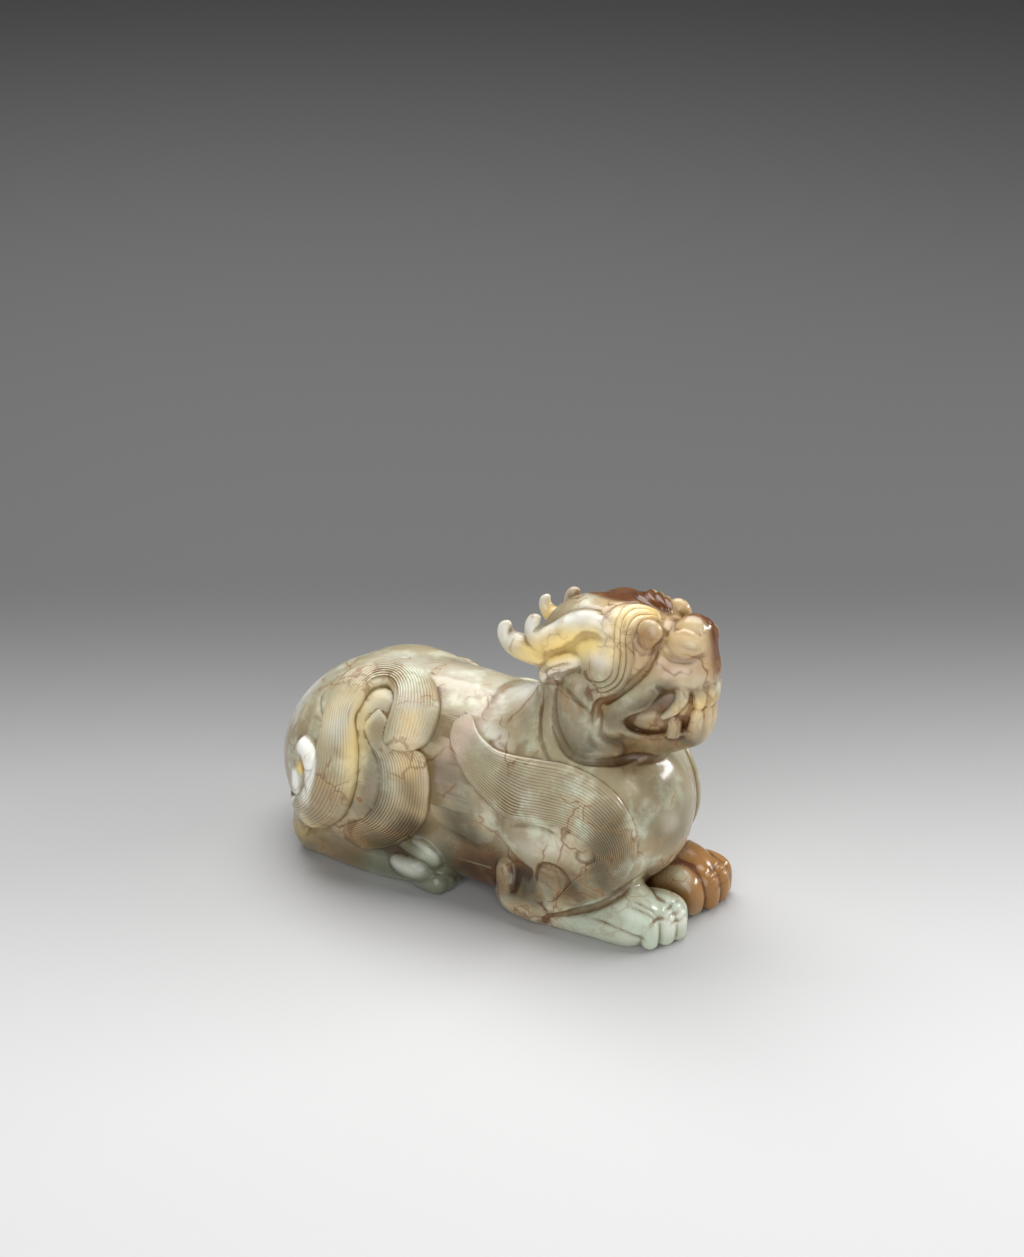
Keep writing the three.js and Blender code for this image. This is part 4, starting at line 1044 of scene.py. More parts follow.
class Tones:
    """Where the stone's tones lie, and the shade and highlights painted with them."""

    ATTRIBUTES = 3      # colour attributes that hold them
    CHANNELS = 3        # tones in each

    def head(self) -> list[Tint]:
        """Tan face with a brown crown and nose, umber jaw and mouth that are partly painted shade, honey
        locks with pale tips.
        """
        jaws = [on_side(side, [(40, 6, 54, 7), (58, 3, 56, 6)]) for side in Side]
        cheeks = [on_side(side, [(57, 10, 72, 2.5), (52, 11, 66, 3.5), (44, 12, 60, 4)]) for side in Side]
        ruffs = [on_side(side, [(32, 13, 66, 3), (33, 14, 58, 4), (37, 13, 51, 4)]) for side in Side]
        return [
            tint(Tone.TAN, 0.95, 5.0, [(44, 0, 79, 13), (56, 0, 79, 11)]),
            tint(Tone.TAN, 0.6, 4.0, [(42, 0, 60, 13), (58, 0, 62, 10)]),
            tint(Tone.ROSE, 0.55, 3.0, [(61, -4, 76, 4), (57, -9, 76, 3)]),
            # Umber under the jaw, along the cheek folds, in the ruff and in the mouth: dark stone and painted
            # shade.
            tint(Tone.UMBER_AND_SHADE, 0.88, 4.5, *jaws),
            tint(Tone.UMBER_AND_SHADE, 0.6, 2.5, *cheeks),
            tint(Tone.UMBER_AND_SHADE, 0.66, 3.5, *ruffs),
            tint(Tone.UMBER_AND_SHADE, 0.55, 2.5, [(47, -9, 60, 3), (54, -9, 61, 2.5)]),
            tint(Tone.PALE_AND_SHEEN, 0.7, 3.0, [(10.5, -9.8, 76, 3.2), (14, -10, 74, 3)],
                 [(19, -10, 80, 3), (22, -10.5, 78, 3), (26, -12, 81.5, 2.2)],
                 [(38, -11, 86, 2.2), (30, -12, 84.5, 2.2)]),
            tint(Tone.PALE_AND_SHEEN, 0.75, 3.0, [(25, -14, 69, 3), (28, -15, 72, 3), (32, -15.5, 75, 2.5)]),
            tint(Tone.HONEY_AND_HIGHLIGHT, 0.9, 4.5, [(37, -14, 81, 3.4), (30, -14, 78, 4), (23, -12, 74, 4),
                 (16, -10, 71, 3)]),
            tint(Tone.HONEY_AND_HIGHLIGHT, 0.5, 3.0, [(48, -3, 88, 3), (44, -9, 86, 4), (43, -12, 79, 3)]),
            tint(Tone.PALE_AND_SHEEN, 0.45, 3.0, [(46, -5, 88, 3), (43, -10, 85, 4), (40, -13, 78, 4)]),
            tint(Tone.HONEY_AND_HIGHLIGHT, 0.45, 2.5, [(66, -3, 67, 3), (60, -8, 66, 2.5)]),
            tint(Tone.HONEY_AND_HIGHLIGHT, 0.8, 3.0, [(30, 10, 74, 5), (13, 10, 73, 4)]),
            tint(Tone.AMBER, 0.6, 1.8, [(50.5, -9, 83, 3.4)], [(50.5, 9, 83, 3.4)]),
            tint(Tone.AMBER, 0.5, 2.0, [(22, 10, 79, 4), (19, 10, 82, 3)]),
            tint(Tone.PALE_AND_SHEEN, 0.6, 2.5, [(19, 10, 82, 2.5), (18, 10, 78, 2.5)], [(11, 10, 76, 3)]),
            tint(Tone.BROWN, 1.0, 1.8, [(53, 0.8, 88, 2.2), (47, 3.4, 89.5, 4.0), (40, 2.4, 90, 5.0),
                 (32, 6.5, 87, 6.5)]),
            tint(Tone.BROWN, 0.8, 2.6, [(37, 10, 83, 5), (27, 10, 80, 5)]),
            tint(Tone.BROWN, 0.95, 2.5, [
                (54, 0.5, 87, 2.2), (60, 2, 89.5, 3.2), (64, 2, 87, 3.4), (65, 1.5, 82, 3.4),
                (66, 0.5, 76, 2.8)])]

    def body(self) -> list[Tint]:
        """Pale back and rump, partly painted sheen; rosy nape and flank; umber fringe, lower flank and elbow,
        partly painted shade; a yellow tail; a pale rump curl with a painted highlight.
        """
        return [
            tint(Tone.TAN, 0.7, 6.0, [(-10, -23, 38, 4), (-8, -25, 26, 6), (-14, -24, 13, 7),
                 (-28, -23, 12, 6)]),
            tint(Tone.TAN, 0.6, 6.0, [(-48, -18, 8, 8), (-24, -23, 8, 6)], [(-34, -27, 26, 6),
                 (-36, -23, 14, 6)]),
            tint(Tone.ROSE, 0.6, 4.0, [(4, -12, 52, 3), (1, -20, 45, 4), (-1, -24, 36, 4)]),
            tint(Tone.ROSE, 0.4, 4.0, [(14, -5, 56, 5)]),
            # Umber on the fringe, lower flank, elbow and hind leg: dark stone, and painted shade on the lower
            # and hidden parts.
            tint(Tone.UMBER_AND_SHADE, 0.72, 9.0, [(-11, -23, 36, 2), (-8, -25, 28, 3)]),
            tint(Tone.UMBER_AND_SHADE, 0.45, 6.0, [(-31, -29, 30, 5), (-36, -26, 16, 6)]),
            tint(Tone.UMBER_AND_SHADE, 0.95, 7.0, [(-10, -24, 20, 5), (-14, -24, 13, 6), (-26, -23, 12, 5)]),
            tint(Tone.UMBER_AND_SHADE, 0.5, 6.0, [(-19, -26, 37, 4), (-22, -26, 24, 6)]),
            tint(Tone.UMBER_AND_SHADE, 0.75, 6.0, [(0, -22, 38, 3), (3, -23, 30, 6), (6, -22, 22, 6)]),
            tint(Tone.UMBER_AND_SHADE, 0.85, 9.0, [(0, -19, 11, 6), (12, -20, 11, 6)]),
            tint(Tone.UMBER_AND_SHADE, 0.75, 4.0, [(17, -22, 12, 5), (25, -23, 12, 6)]),
            tint(Tone.UMBER_AND_SHADE, 0.62, 5.0, [(30, -25, 16, 5), (38, -23, 18, 6)]),
            tint(Tone.UMBER_AND_SHADE, 0.6, 6.0, [(47, -19, 34, 6), (45, -19, 20, 7)]),
            tint(Tone.UMBER_AND_SHADE, 0.25, 6.0, [(38, -24, 40, 3)]),
            tint(Tone.UMBER_AND_SHADE, 0.45, 6.0, [(52, -14, 36, 5), (55, -2, 30, 7), (54, -6, 42, 5)]),
            tint(Tone.UMBER_AND_SHADE, 0.25, 6.0, [(36, -23, 43, 4)]),
            tint(Tone.UMBER_AND_SHADE, 0.8, 6.0, [(-47, -18, 8, 7), (-24, -23, 7, 6)]),
            tint(Tone.UMBER_AND_SHADE, 0.55, 9.0, [(-8, 22, 20, 6), (8, 20, 12, 6)]),
            # Pale on top of the back and neck: light stone and painted sheen of the light from above.
            tint(Tone.PALE_AND_SHEEN, 0.3, 7.0, [(-30, 0, 54, 8), (-4, 0, 56, 8)]),
            tint(Tone.PALE_AND_SHEEN, 0.55, 7.0, [(8, 0, 56, 6), (16, -2, 56, 7)]),
            tint(Tone.PALE_AND_SHEEN, 0.5, 3.5, [(8, -15, 50, 3), (14, -18, 48, 3)]),
            tint(Tone.PALE_AND_SHEEN, 0.6, 8.0, [(-54, -8, 42, 7), (-52, -8, 26, 6)]),
            tint(Tone.PALE_AND_SHEEN, 0.22, 5.0, [(-19, -26, 34, 2), (-21, -26, 28, 2)], [(19, -24, 41, 4),
                 (27, -24, 37, 4)]),
            tint(Tone.PALE_AND_SHEEN, 0.3, 4.0, [(33, -26, 18, 2)], [(24, -25, 24, 3), (34, -25, 27, 3)],
                 [(56, -6, 32, 3)]),
            # Pale rump curl: white stone and a painted highlight.
            tint(Tone.PALE_AND_SHEEN, 1.0, 1.6, [(-40, -26, 22, 2.6), (-40, -27, 33, 3.2), (-43, -25, 36, 3)],
                 [(-47, -23, 24, 2.2), (-48, -22, 19, 2.6)]),
            tint(Tone.HONEY_AND_HIGHLIGHT, 1.0, 1.0, [(-44, -25.5, 30, 1.6), (-45.4, -24, 27.5, 1.3)]),
            tint(Tone.HONEY_AND_HIGHLIGHT, 0.55, 4.0, [(-27, -27, 28, 2), (-26, -26, 40, 3), (-27.5, -20, 50, 2.6)]),
            tint(Tone.HONEY_AND_HIGHLIGHT, 0.45, 5.0, [(-32, -26, 30, 3), (-34, -22, 46, 3), (-24, -16, 54, 3)]),
            tint(Tone.PALE_AND_SHEEN, 0.35, 5.0, [(-33, -25, 44, 5), (-24, -17, 54, 4), (-12, -19, 50, 5),
                 (-12, -24, 39, 3)]),
            tint(Tone.HONEY_AND_HIGHLIGHT, 0.4, 4.0, [(-12, -20, 48, 4), (-11, -24, 38, 4)]),
            tint(Tone.HONEY_AND_HIGHLIGHT, 0.35, 4.0, [(-48, -18, 8, 5), (-40, -24, 14, 5)])]

    def feet(self) -> list[Tint]:
        """Green-white right forepaw and hind feet with umber that is partly painted shade, and an amber left
        forepaw with a painted highlight on top.
        """
        return [
            tint(Tone.GREEN, 1.0, 3.5, [(38, -18, 6, 6), (48, -15, 7, 8), (60, -11, 6, 8)]),
            tint(Tone.GREEN, 0.9, 4.0, [(-22, -21, 5, 5), (-10, -22, 8, 8), (-2, -15, 6, 7)]),
            tint(Tone.GREEN, 0.9, 4.0, [(-22, 20, 6, 7), (-2, 16, 7, 8)]),
            # Umber on the hind foot and the back of the right forepaw: dark stone and painted shade low down.
            tint(Tone.UMBER_AND_SHADE, 0.7, 4.0, [(-20, -24, 6, 6), (-8, -24, 6, 6), (0, -16, 5, 8)]),
            tint(Tone.PALE_AND_SHEEN, 0.4, 2.5, [(-15, -25, 8.5, 2), (-8, -25.5, 8, 2.4)]),
            tint(Tone.UMBER_AND_SHADE, 0.35, 4.0, [(40, -20, 8, 4), (50, -19, 9, 3)]),
            tint(Tone.PALE_AND_SHEEN, 0.45, 3.0, [(62, -15, 7, 3), (62, -8, 7, 3)]),
            tint(Tone.AMBER, 1.0, 2.5, [(46, 14, 6, 9), (58, 13, 6, 10)], [(45, 8, 7, 6), (57, 6, 6, 5)]),
            # Honey on top of the left forepaw: a painted highlight.
            tint(Tone.HONEY_AND_HIGHLIGHT, 0.5, 3.0, [(54, 16, 14, 3), (59, 14, 12, 2)]),
            tint(Tone.BROWN, 0.45, 2.5, [(48, 12, 4, 7), (56, 6, 3, 4)])]

    def paint(self, mesh: bpy.types.Mesh, points: np.ndarray) -> None:
        """Writes the largest amount of each tone at each corner, three tones to a colour attribute."""
        amounts = np.zeros((self.ATTRIBUTES * self.CHANNELS, len(points)))
        for spot in self.head() + self.body() + self.feet():
            row = amounts[spot.tone.value]
            np.maximum(row, spot.amount(points), out=row)
        for number in range(self.ATTRIBUTES):
            first = number * self.CHANNELS
            write_colours(mesh, f"tone_{number}", amounts[first:first + self.CHANNELS])


def write_colours(mesh: bpy.types.Mesh, name: str, channels: Sequence[np.ndarray]) -> None:
    """Stores three values for each corner as a colour attribute."""
    attribute = mesh.attributes.new(name, "FLOAT_COLOR", "POINT")
    values = np.column_stack([*channels, np.ones(len(channels[0]))]).astype(np.float32)
    attribute.data.foreach_set("color", values.ravel())


class Relief:
    """Measures how deep each corner of a mesh lies in a groove or a hollow."""

    SMOOTHING = 24      # rounds over the neighbours that even out a groove
    GROOVE = 0.12       # depth in millimetres that counts as a full groove
    NEAR = 0.8          # reach of the near hollow
    NEAR_GAIN = 2.0
    WIDE = 5.0          # reach of the wide hollow
    WIDE_SMOOTHING = 6

    def __init__(self, mesh: bpy.types.Mesh, stone: Carving) -> None:
        """Reads the corners, edges and outward directions of the mesh."""
        self.points = read_points(mesh) / MM + MIDDLE
        self.stone = stone
        edges = np.empty(len(mesh.edges) * 2, np.int32)
        mesh.edges.foreach_get("vertices", edges)
        self.edges = edges.reshape(-1, 2)
        outward = np.empty(len(mesh.vertices) * 3, np.float32)
        mesh.vertices.foreach_get("normal", outward)
        self.outward = outward.reshape(-1, 3).astype(float)

    def spread(self, values: np.ndarray, rounds: int) -> np.ndarray:
        """Replaces each value by the mean of itself and its neighbours' mean, so many times over."""
        a, b = self.edges.T
        count = len(values)
        near = np.maximum(np.bincount(a, minlength=count) + np.bincount(b, minlength=count), 1)
        for _ in range(rounds):
            total = np.column_stack([
                np.bincount(a, column[b], count) + np.bincount(b, column[a], count) for column in values.T])
            values = (values + total / near[:, None]) / 2
        return values

    def groove(self) -> np.ndarray:
        """How far, in millimetres, each corner lies under the surface smoothed over its neighbours."""
        return ((self.spread(self.points, self.SMOOTHING) - self.points) * self.outward).sum(axis=1)

    def hollow(self, reach: float) -> np.ndarray:
        """How much stone closes in at a distance over the surface: 1 - field / reach, from 0 to 1."""
        depth = self.stone.distance(self.points + self.outward * reach, reach)
        return np.clip(1 - depth / reach, 0, 1)

    def paint(self, mesh: bpy.types.Mesh) -> None:
        """Writes groove, near hollow and wide hollow to a colour attribute."""
        groove = np.clip(self.groove() / self.GROOVE, -1, 1)
        near = np.clip(self.hollow(self.NEAR) * self.NEAR_GAIN, 0, 1)
        # The wide hollow is used in the material as painted shade; the near hollow as stain and painted shade
        # in creases.
        wide = self.spread(self.hollow(self.WIDE)[:, None], self.WIDE_SMOOTHING)[:, 0]
        write_colours(mesh, "relief", [groove * 0.5 + 0.5, near, wide])


Value = bpy.types.NodeSocket | float | tuple[float, ...]


class Graph:
    """Adds nodes to a node tree and wires them."""

    def __init__(self, tree: bpy.types.NodeTree) -> None:
        """Takes the tree that the nodes go into."""
        self.tree = tree

    def add(self, kind: str, inputs: dict, **settings: object) -> bpy.types.Node:
        """Adds a node, applies its settings and links or sets its inputs."""
        node = self.tree.nodes.new(kind)
        for name, value in settings.items():
            setattr(node, name, value)
        for key, value in inputs.items():
            if isinstance(value, bpy.types.NodeSocket):
                self.tree.links.new(value, node.inputs[key])
            else:
                node.inputs[key].default_value = value
        return node

    def math(self, operation: str, *values: Value) -> bpy.types.NodeSocket:
        """Works out one value from one, two or three."""
        return self.add("ShaderNodeMath", dict(enumerate(values)), operation=operation).outputs[0]

    def mix(self, share: Value, first: Value, second: Value, blend: str = "MIX") -> bpy.types.NodeSocket:
        """Blends two colours."""
        inputs = {0: share, 6: colour(first), 7: colour(second)}
        return self.add("ShaderNodeMix", inputs, data_type="RGBA", blend_type=blend).outputs[2]

    def ramp(self, value: Value, low: Value, high: Value, start: float = 0.0,
             end: float = 1.0) -> bpy.types.NodeSocket:
        """Goes smoothly from start to end while the value goes from low to high."""
        inputs = {0: value, 1: low, 2: high, 3: start, 4: end}
        return self.add("ShaderNodeMapRange", inputs, interpolation_type="SMOOTHSTEP").outputs[0]

    def noise(self, place: Value, scale: float, detail: float = 3.0, roughness: float = 0.5,
              wander: float = 0.0) -> bpy.types.NodeSocket:
        """Cloudy noise of about 0.5, with its largest clouds 1 / scale wide."""
        inputs = {"Vector": place, "Scale": scale, "Detail": detail, "Roughness": roughness,
            "Distortion": wander}
        return self.add("ShaderNodeTexNoise", inputs).outputs[0]

    def attribute(self, name: str) -> list[bpy.types.NodeSocket]:
        """The three channels of a colour attribute."""
        node = self.add("ShaderNodeAttribute", {}, attribute_name=name)
        parts = self.add("ShaderNodeSeparateColor", {0: node.outputs["Color"]})
        return list(parts.outputs)

    def tone(self, tone: Tone) -> bpy.types.NodeSocket:
        """How much of a tone there is."""
        number, channel = divmod(tone.value, Tones.CHANNELS)
        return self.attribute(f"tone_{number}")[channel]


def colour(value: Value) -> Value:
    """Gives a colour of three numbers its fourth."""
    return (*value, 1.0) if isinstance(value, tuple) and len(value) == 3 else value


@dataclass(frozen=True)
class Veins:
    """Healed cracks: thin stained lines that wander, branch and break off."""

    name: str = "healed cracks"

    def group(self) -> bpy.types.NodeTree:
        """Builds the node group once. It puts out the stain of the cracks from 0 to 1.

        One set of lines runs where a warped cloud passes its middle value. The other set follows the
        borders of warped cells. Each line is 1 - distance / width, and broad clouds break it up.
        """
        known = bpy.data.node_groups.get(self.name)
        if known:
            return known
        tree = bpy.data.node_groups.new(self.name, "ShaderNodeTree")
        tree.interface.new_socket("Place", in_out="INPUT", socket_type="NodeSocketVector")
        for socket in ("Scale", "Width", "Cover"):
            tree.interface.new_socket(socket, in_out="INPUT", socket_type="NodeSocketFloat")
        tree.interface.new_socket("Stain", in_out="OUTPUT", socket_type="NodeSocketFloat")
        g = Graph(tree)
        given = g.add("NodeGroupInput", {}).outputs
        place, scale, width, cover = given[0], given[1], given[2], given[3]
        warp = g.add("ShaderNodeTexNoise", {"Vector": place, "Scale": scale, "Detail": 3.0, "Roughness": 0.6})
        shift = g.add("ShaderNodeVectorMath", {0: warp.outputs["Color"],
            1: (0.5, 0.5, 0.5)}, operation="SUBTRACT")
        reach = g.math("DIVIDE", 1.1, scale)
        shift = g.add("ShaderNodeVectorMath", {0: shift.outputs[0], "Scale": reach}, operation="SCALE")
        warped = g.add("ShaderNodeVectorMath", {0: place, 1: shift.outputs[0]}, operation="ADD").outputs[0]
        cells = g.add("ShaderNodeTexVoronoi", {"Vector": warped, "Scale": scale}, feature="DISTANCE_TO_EDGE")
        uneven = g.math("MULTIPLY", width, g.ramp(g.noise(place, 110.0, 2.0), 0.3, 0.7, 0.4, 1.5))
        border = g.ramp(cells.outputs["Distance"], 0.0, uneven, 1.0, 0.0)
        cloud = g.add("ShaderNodeTexNoise", {"Vector": warped, "Scale": scale, "Detail": 1.0,
            "Roughness": 0.5})
        passing = g.math("ABSOLUTE", g.math("SUBTRACT", cloud.outputs[0], 0.5))
        wander = g.ramp(passing, 0.0, g.math("MULTIPLY", uneven, 0.3), 1.0, 0.0)
        shown = []
        for size, line in ((48.0, border), (33.0, wander)):
            clouds = g.noise(place, size, 4.0, 0.6)
            mask = g.ramp(clouds, g.math("SUBTRACT", 0.56, cover), g.math("SUBTRACT", 0.66, cover))
            shown.append(g.math("MULTIPLY", line, mask))
        out = g.add("NodeGroupOutput", {0: g.math("MAXIMUM", *shown)})
        out.is_active_output = True
        return tree

    def add(self, g: Graph, place: Value, scale: float, width: float, cover: float) -> bpy.types.NodeSocket:
        """Adds the cracks to a material: cells 1 / scale wide, lines width of a cell wide."""
        node = g.add("ShaderNodeGroup", {})
        node.node_tree = self.group()
        g.tree.links.new(place, node.inputs["Place"])
        node.inputs["Scale"].default_value = scale
        node.inputs["Width"].default_value = width
        node.inputs["Cover"].default_value = cover
        return node.outputs[0]


@dataclass(frozen=True)
class JadeFinish:
    """Polished jade: a clouded celadon ground, the tones laid over it, cracks and stain in grooves, with
    painted shade and highlights among them.

    Attributes:
        celadon, cloud, moss: the ground and the lighter and darker clouds in it.
        tan, rose, green, umber, pale, honey, amber, skin: the tones, some also painted light. Umber darkens
        what it covers, as dark stone and as painted shade.
        russet, ochre: the cracks and the halo round them.
        hollow, rust: the stain in grooves and creases, partly painted shade in the creases; hollow also tints
            the painted shade of the wide hollows.
        large, small: crack cells in a metre.
        large_line, small_line, halo_line: width of a line, as a share of its cell.
        cover: how much further than usual the large cracks spread.
        faded: by how much the cracks weaken where the stone is green, honey or amber.
    """

    celadon: tuple[float, float, float] = (0.41, 0.375, 0.255)
    cloud: tuple[float, float, float] = (0.58, 0.59, 0.45)
    moss: tuple[float, float, float] = (0.34, 0.275, 0.165)
    tan: tuple[float, float, float] = (0.58, 0.43, 0.24)
    rose: tuple[float, float, float] = (0.58, 0.45, 0.37)
    green: tuple[float, float, float] = (0.50, 0.56, 0.45)
    # umber: dark stone, and painted shade where it lies on lower parts, under the jaw and in the mouth
    umber: tuple[float, float, float] = (0.20, 0.185, 0.135)
    # pale: light stone, also the painted sheen on the back and the painted highlight on the rump curl
    pale: tuple[float, float, float] = (0.90, 0.91, 0.84)
    # honey: yellow stone, also the painted highlight on top of the left forepaw
    honey: tuple[float, float, float] = (0.93, 0.70, 0.27)
    amber: tuple[float, float, float] = (0.31, 0.155, 0.052)
    skin: tuple[float, float, float] = (0.13, 0.045, 0.014)
    russet: tuple[float, float, float] = (0.17, 0.078, 0.03)
    ochre: tuple[float, float, float] = (0.42, 0.24, 0.09)
    hollow: tuple[float, float, float] = (0.56, 0.50, 0.36)
    rust: tuple[float, float, float] = (0.42, 0.23, 0.11)
    large: float = 75.0
    small: float = 130.0
    large_line: float = 0.04
    small_line: float = 0.05
    halo_line: float = 0.3
    cover: float = 0.08
    faded: float = 0.8

    def broken(self, g: Graph, amount: Value, place: Value, scale: float) -> bpy.types.NodeSocket:
        """Breaks up the soft edge of a zone with clouds."""
        cloud = g.noise(place, scale, 5.0, 0.55)
        lifted = g.math("MULTIPLY_ADD", g.math("SUBTRACT", cloud, 0.5), 0.32, amount)
        return g.math("MULTIPLY", g.ramp(lifted, 0.0, 0.9), g.ramp(amount, 0.0, 0.2))

    def body(self, g: Graph, place: Value) -> bpy.types.NodeSocket:
        """The stone's colour, with shade and highlights painted in: clouded celadon, and the other tones laid
        over it in their order.
        """
        base = g.mix(g.ramp(g.noise(place, 50.0, 5.0, 0.55, 0.6), 0.34, 0.62), self.moss, self.celadon)
        base = g.mix(g.ramp(g.noise(place, 95.0, 4.0, 0.6), 0.46, 0.68), base, self.cloud)
        colours = (self.tan, self.rose, self.green, self.umber, self.pale, self.honey, self.amber, self.skin)
        for tone, own in zip(Tone, colours):
            amount = self.broken(g, g.tone(tone), place, 60.0 + 7.0 * tone.value)
            # Umber multiplies, darkening as dark stone and as painted shade; the others mix in.
            base = g.mix(amount, base, own, "MULTIPLY" if tone is Tone.UMBER_AND_SHADE else "MIX")
        return base

    def cracked(self, g: Graph, place: Value, base: Value) -> tuple[Value, Value]:
        """Lays the cracks and their halo over the stone.

        Returns:
            The colour, and how strong a crack there is at each place.
        """
        veins = Veins()
        large = veins.add(g, place, self.large, self.large_line, self.cover)
        small = veins.add(g, place, self.small, self.small_line, 0.0)
        halo = veins.add(g, place, self.large, self.halo_line, self.cover)
        cracks = g.math("MAXIMUM", large, g.math("MULTIPLY", small, 0.7))
        warm = g.math("MAXIMUM", g.tone(Tone.HONEY_AND_HIGHLIGHT), g.tone(Tone.AMBER))
        clear = g.math("MAXIMUM", g.tone(Tone.GREEN), warm)
        clear = g.math("MULTIPLY_ADD", clear, -self.faded, 1.0)
        cracks = g.math("MULTIPLY", cracks, clear)
        halo = g.math("MULTIPLY", halo, clear)
        base = g.mix(g.math("MULTIPLY", halo, 0.35), base, self.ochre)
        return g.mix(g.math("MULTIPLY", cracks, 0.7), base, self.russet), cracks

    def stain_and_shade(self, g: Graph, place: Value, base: Value) -> tuple[Value, Value]:
        """Stains grooves and creases, paints shade in the wide hollows and lightens the ridges between
        grooves as wear and painted highlight.

        Returns:
            The colour, and how strong the darkening of grooves and creases is at each place: stain, partly
            painted shade.
        """
        groove, near, wide = g.attribute("relief")
        patchy = g.ramp(g.noise(place, 60.0, 4.0, 0.6), 0.38, 0.62, 0.5, 1.0)
        deep = g.math("MULTIPLY", g.ramp(groove, 0.55, 0.9), patchy)
        # Grooves get stain; creases, found by the near hollow, get stain and painted shade.
        stain = g.math("MAXIMUM", deep, g.math("MULTIPLY", near, 0.35))
        rusty = g.mix(g.ramp(g.noise(place, 40.0, 3.0), 0.4, 0.6), self.hollow, self.rust)
        base = g.mix(stain, base, rusty, "MULTIPLY")
        # Painted shade: the wide hollow, where stone closes in round a place, darkens it.
        base = g.mix(g.math("MULTIPLY", wide, 0.6), base, self.hollow, "MULTIPLY")
        # Ridges between grooves made lighter: wear and painted highlight.
        ridge_wear_and_highlight = g.ramp(groove, 0.5, 0.1)
        return g.mix(ridge_wear_and_highlight, base, (1.15, 1.15, 1.15), "MULTIPLY"), stain

    def material(self) -> bpy.types.Material:
        """Builds the material: the coloured stone under a polish that stains and cracks dull."""
        material = bpy.data.materials.new("jade")
        material.use_nodes = True
        material.node_tree.nodes.clear()
        g = Graph(material.node_tree)
        place = g.add("ShaderNodeTexCoord", {}).outputs["Object"]
        base, cracks = self.cracked(g, place, self.body(g, place))
        base, stain = self.stain_and_shade(g, place, base)
        rough = g.ramp(g.noise(place, 300.0, 4.0), 0.3, 0.7, 0.16, 0.26)
        rough = g.math("ADD", rough, g.math("MULTIPLY", stain, 0.2))
        waves = g.noise(place, 220.0, 3.0, 0.5)
        height = g.math("SUBTRACT", waves, g.math("MULTIPLY", cracks, 0.5))
        bump = g.add("ShaderNodeBump", {"Height": height, "Strength": 0.25, "Distance": 0.0003})
        shader = g.add("ShaderNodeBsdfPrincipled", {
            "Base Color": base, "Roughness": rough, "Normal": bump.outputs[0], "IOR": 1.5,
            "Specular IOR Level": 0.4, "Subsurface Weight": 0.2, "Subsurface Radius": (1.0, 0.95, 0.8),
            "Subsurface Scale": 0.0015, "Coat Weight": 0.2, "Coat Roughness": 0.08})
        g.add("ShaderNodeOutputMaterial", {"Surface": shader.outputs[0]})
        return material


@dataclass(frozen=True)
class Lamp:
    """A soft panel of light.

    Attributes:
        name: what the lamp is called.
        side, front, height: metres to the right of the view, towards the camera and up.
        size: width and height of the panel.
        power: watts.
    """

    name: str
    side: float
    front: float
    height: float
    size: tuple[float, float]
    power: float


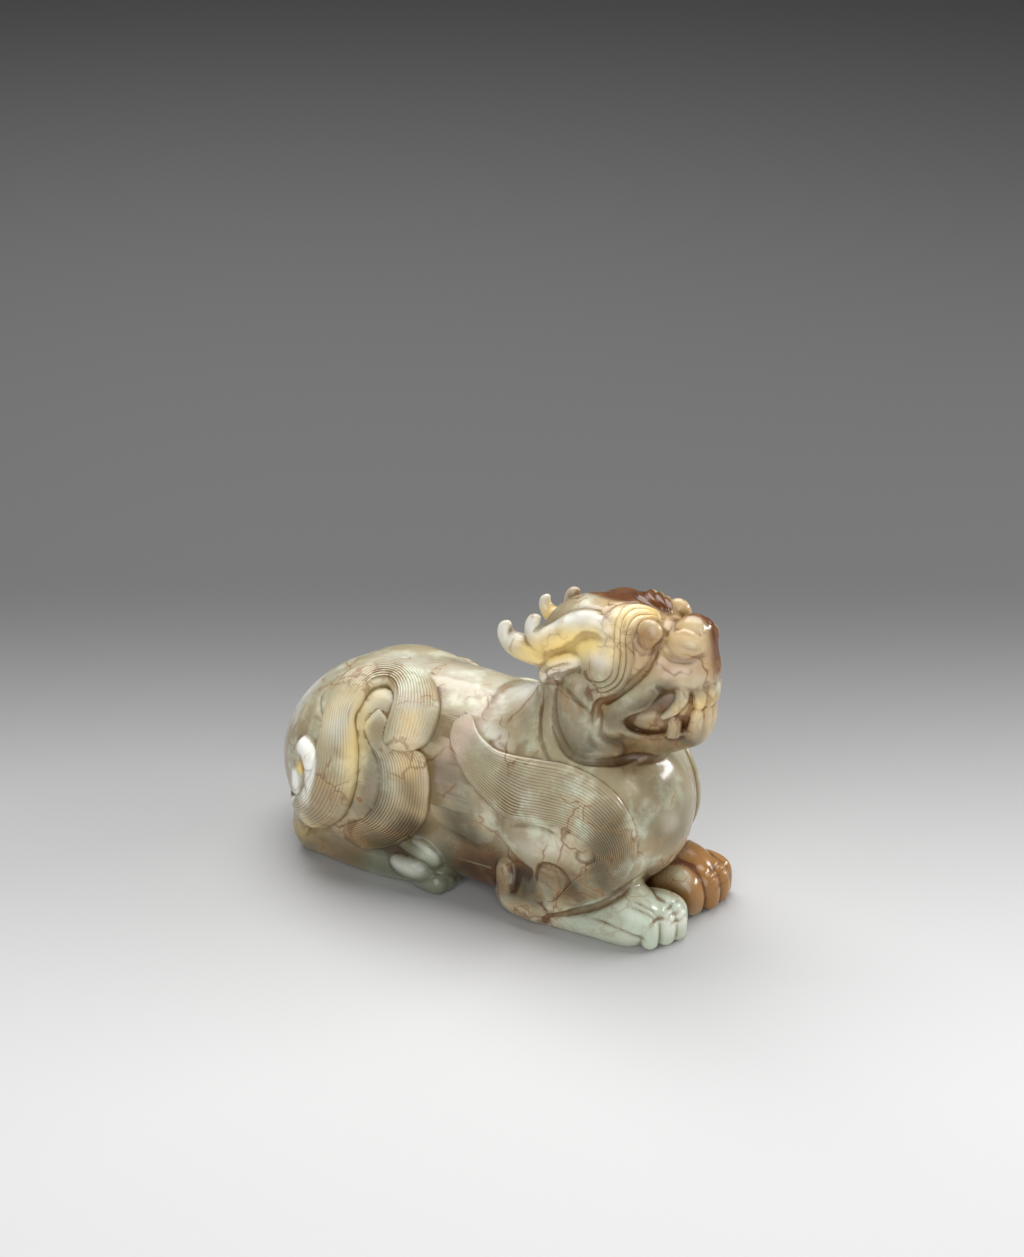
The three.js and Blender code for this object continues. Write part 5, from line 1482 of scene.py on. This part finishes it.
@dataclass
class Studio:
    """The floor, the soft lights and the camera."""

    azimuth: float = 31.5
    elevation: float = 24.9
    lens: float = 85.0
    sensor: float = 36.0
    image: tuple[int, int] = (1024, 1257)
    aim: tuple[float, float] = (492.0, 866.0)  # pixel at which the carver's origin is seen
    pixel: float = 0.268                       # millimetres of stone behind one pixel
    target: tuple[float, float, float] = (0.0, 0.0, 0.04)
    lamps: tuple[Lamp, ...] = (
        Lamp("overhead", -0.05, -0.26, 0.72, (0.9, 0.6), 7.6),
        Lamp("strip", 0.62, -0.12, 0.32, (0.08, 0.5), 2.4),
        Lamp("front", -0.1, 0.85, 0.42, (0.9, 0.7), 5.4))
    glow: float = 0.1                          # strength of the even light from all round
    paper: float = 3.0                         # half the width of the floor
    pale: tuple[float, float, float] = (0.63, 0.63, 0.63)
    # darker floor colours behind the carving: painted shade of the light falling off
    shaded_grey: tuple[float, float, float] = (0.107, 0.107, 0.107)
    far_shaded_grey: tuple[float, float, float] = (0.145, 0.145, 0.145)

    def __post_init__(self) -> None:
        """Works out the directions of the view."""
        a, e = math.radians(self.azimuth), math.radians(self.elevation)
        self.back = np.array([math.sin(a) * math.cos(e), -math.cos(a) * math.cos(e), math.sin(e)])
        self.right = np.array([math.cos(a), math.sin(a), 0.0])
        self.towards = unit(self.back * (1, 1, 0))

    def camera(self) -> None:
        """Places the camera so that the carver's origin is seen at its pixel."""
        width, height = self.image
        focal = self.lens / self.sensor * height
        up = np.cross(self.back, self.right)
        u = (self.aim[0] - width / 2) / focal
        v = (height / 2 - self.aim[1]) / focal
        place = (self.back - u * self.right - v * up) * focal * self.pixel
        data = bpy.data.cameras.new("camera")
        data.lens = self.lens
        data.sensor_width = self.sensor
        data.sensor_fit = "AUTO"
        camera = bpy.data.objects.new("camera", data)
        camera.matrix_world = turned(self.right, up, self.back, (place - MIDDLE) * MM)
        bpy.context.scene.collection.objects.link(camera)
        bpy.context.scene.camera = camera

    def floor(self) -> None:
        """Lays a wide sheet of studio paper, pale where the carving stands and painted with shade that
        darkens it behind.
        """
        mesh = bpy.data.meshes.new("floor")
        r = self.paper
        mesh.from_pydata([(-r, -r, 0), (r, -r, 0), (r, r, 0), (-r, r, 0)], [], [(0, 1, 2, 3)])
        piece = bpy.data.objects.new("floor", mesh)
        bpy.context.scene.collection.objects.link(piece)
        material = bpy.data.materials.new("floor")
        material.use_nodes = True
        material.node_tree.nodes.clear()
        g = Graph(material.node_tree)
        place = g.add("ShaderNodeTexCoord", {}).outputs["Object"]
        inputs = {0: place, 1: tuple(self.towards)}
        depth = g.add("ShaderNodeVectorMath", inputs, operation="DOT_PRODUCT").outputs[1]
        # Painted shade: the floor darkens with distance behind the carving, as light falls off.
        shade = g.mix(g.ramp(depth, -0.9, -0.15), self.far_shaded_grey, self.shaded_grey)
        shade = g.mix(g.ramp(depth, -0.2, 0.12), shade, self.pale)
        shader = g.add("ShaderNodeBsdfPrincipled", {"Base Color": shade, "Roughness": 0.7})
        g.add("ShaderNodeOutputMaterial", {"Surface": shader.outputs[0]})
        mesh.materials.append(material)

    def light(self, lamp: Lamp) -> None:
        """Hangs one lamp so that it faces the target."""
        upwards = np.array([0, 0, lamp.height])
        place = self.right * lamp.side + self.towards * lamp.front + upwards
        data = bpy.data.lights.new(lamp.name, "AREA")
        data.shape = "RECTANGLE"
        data.size, data.size_y = lamp.size
        data.energy = lamp.power
        piece = bpy.data.objects.new(lamp.name, data)
        back = unit(place - np.array(self.target))
        right = unit(np.cross((0.01, 1, 0.02), back))
        piece.matrix_world = turned(right, np.cross(back, right), back, place)
        bpy.context.scene.collection.objects.link(piece)

    def build(self) -> None:
        """Sets up the whole studio."""
        self.camera()
        self.floor()
        for lamp in self.lamps:
            self.light(lamp)
        world = bpy.data.worlds.new("studio")
        world.use_nodes = True
        sky = world.node_tree.nodes["Background"].inputs
        sky["Color"].default_value = (1.0, 1.0, 1.0, 1.0)
        sky["Strength"].default_value = self.glow
        bpy.context.scene.world = world
        bpy.context.scene.view_settings.view_transform = "Standard"


def turned(right: np.ndarray, up: np.ndarray, back: np.ndarray, place: np.ndarray) -> Matrix:
    """A placement whose X, Y and Z axes are right, up and back."""
    rows = np.eye(4)
    rows[:3] = np.column_stack([right, up, back, place])
    return Matrix(rows.tolist())


def main() -> None:
    """Builds the carving and the studio."""
    logging.basicConfig(level=logging.INFO, format="%(asctime)s %(message)s")
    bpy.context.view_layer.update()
    piece = Beast().build()
    piece.data.materials.clear()
    piece.data.materials.append(JadeFinish().material())
    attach(piece, "root")
    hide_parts("jade_beast")
    LOG.info("jade_carving has %d faces", len(piece.data.polygons))
    Studio().build()


if __name__ == "__main__":
    main()
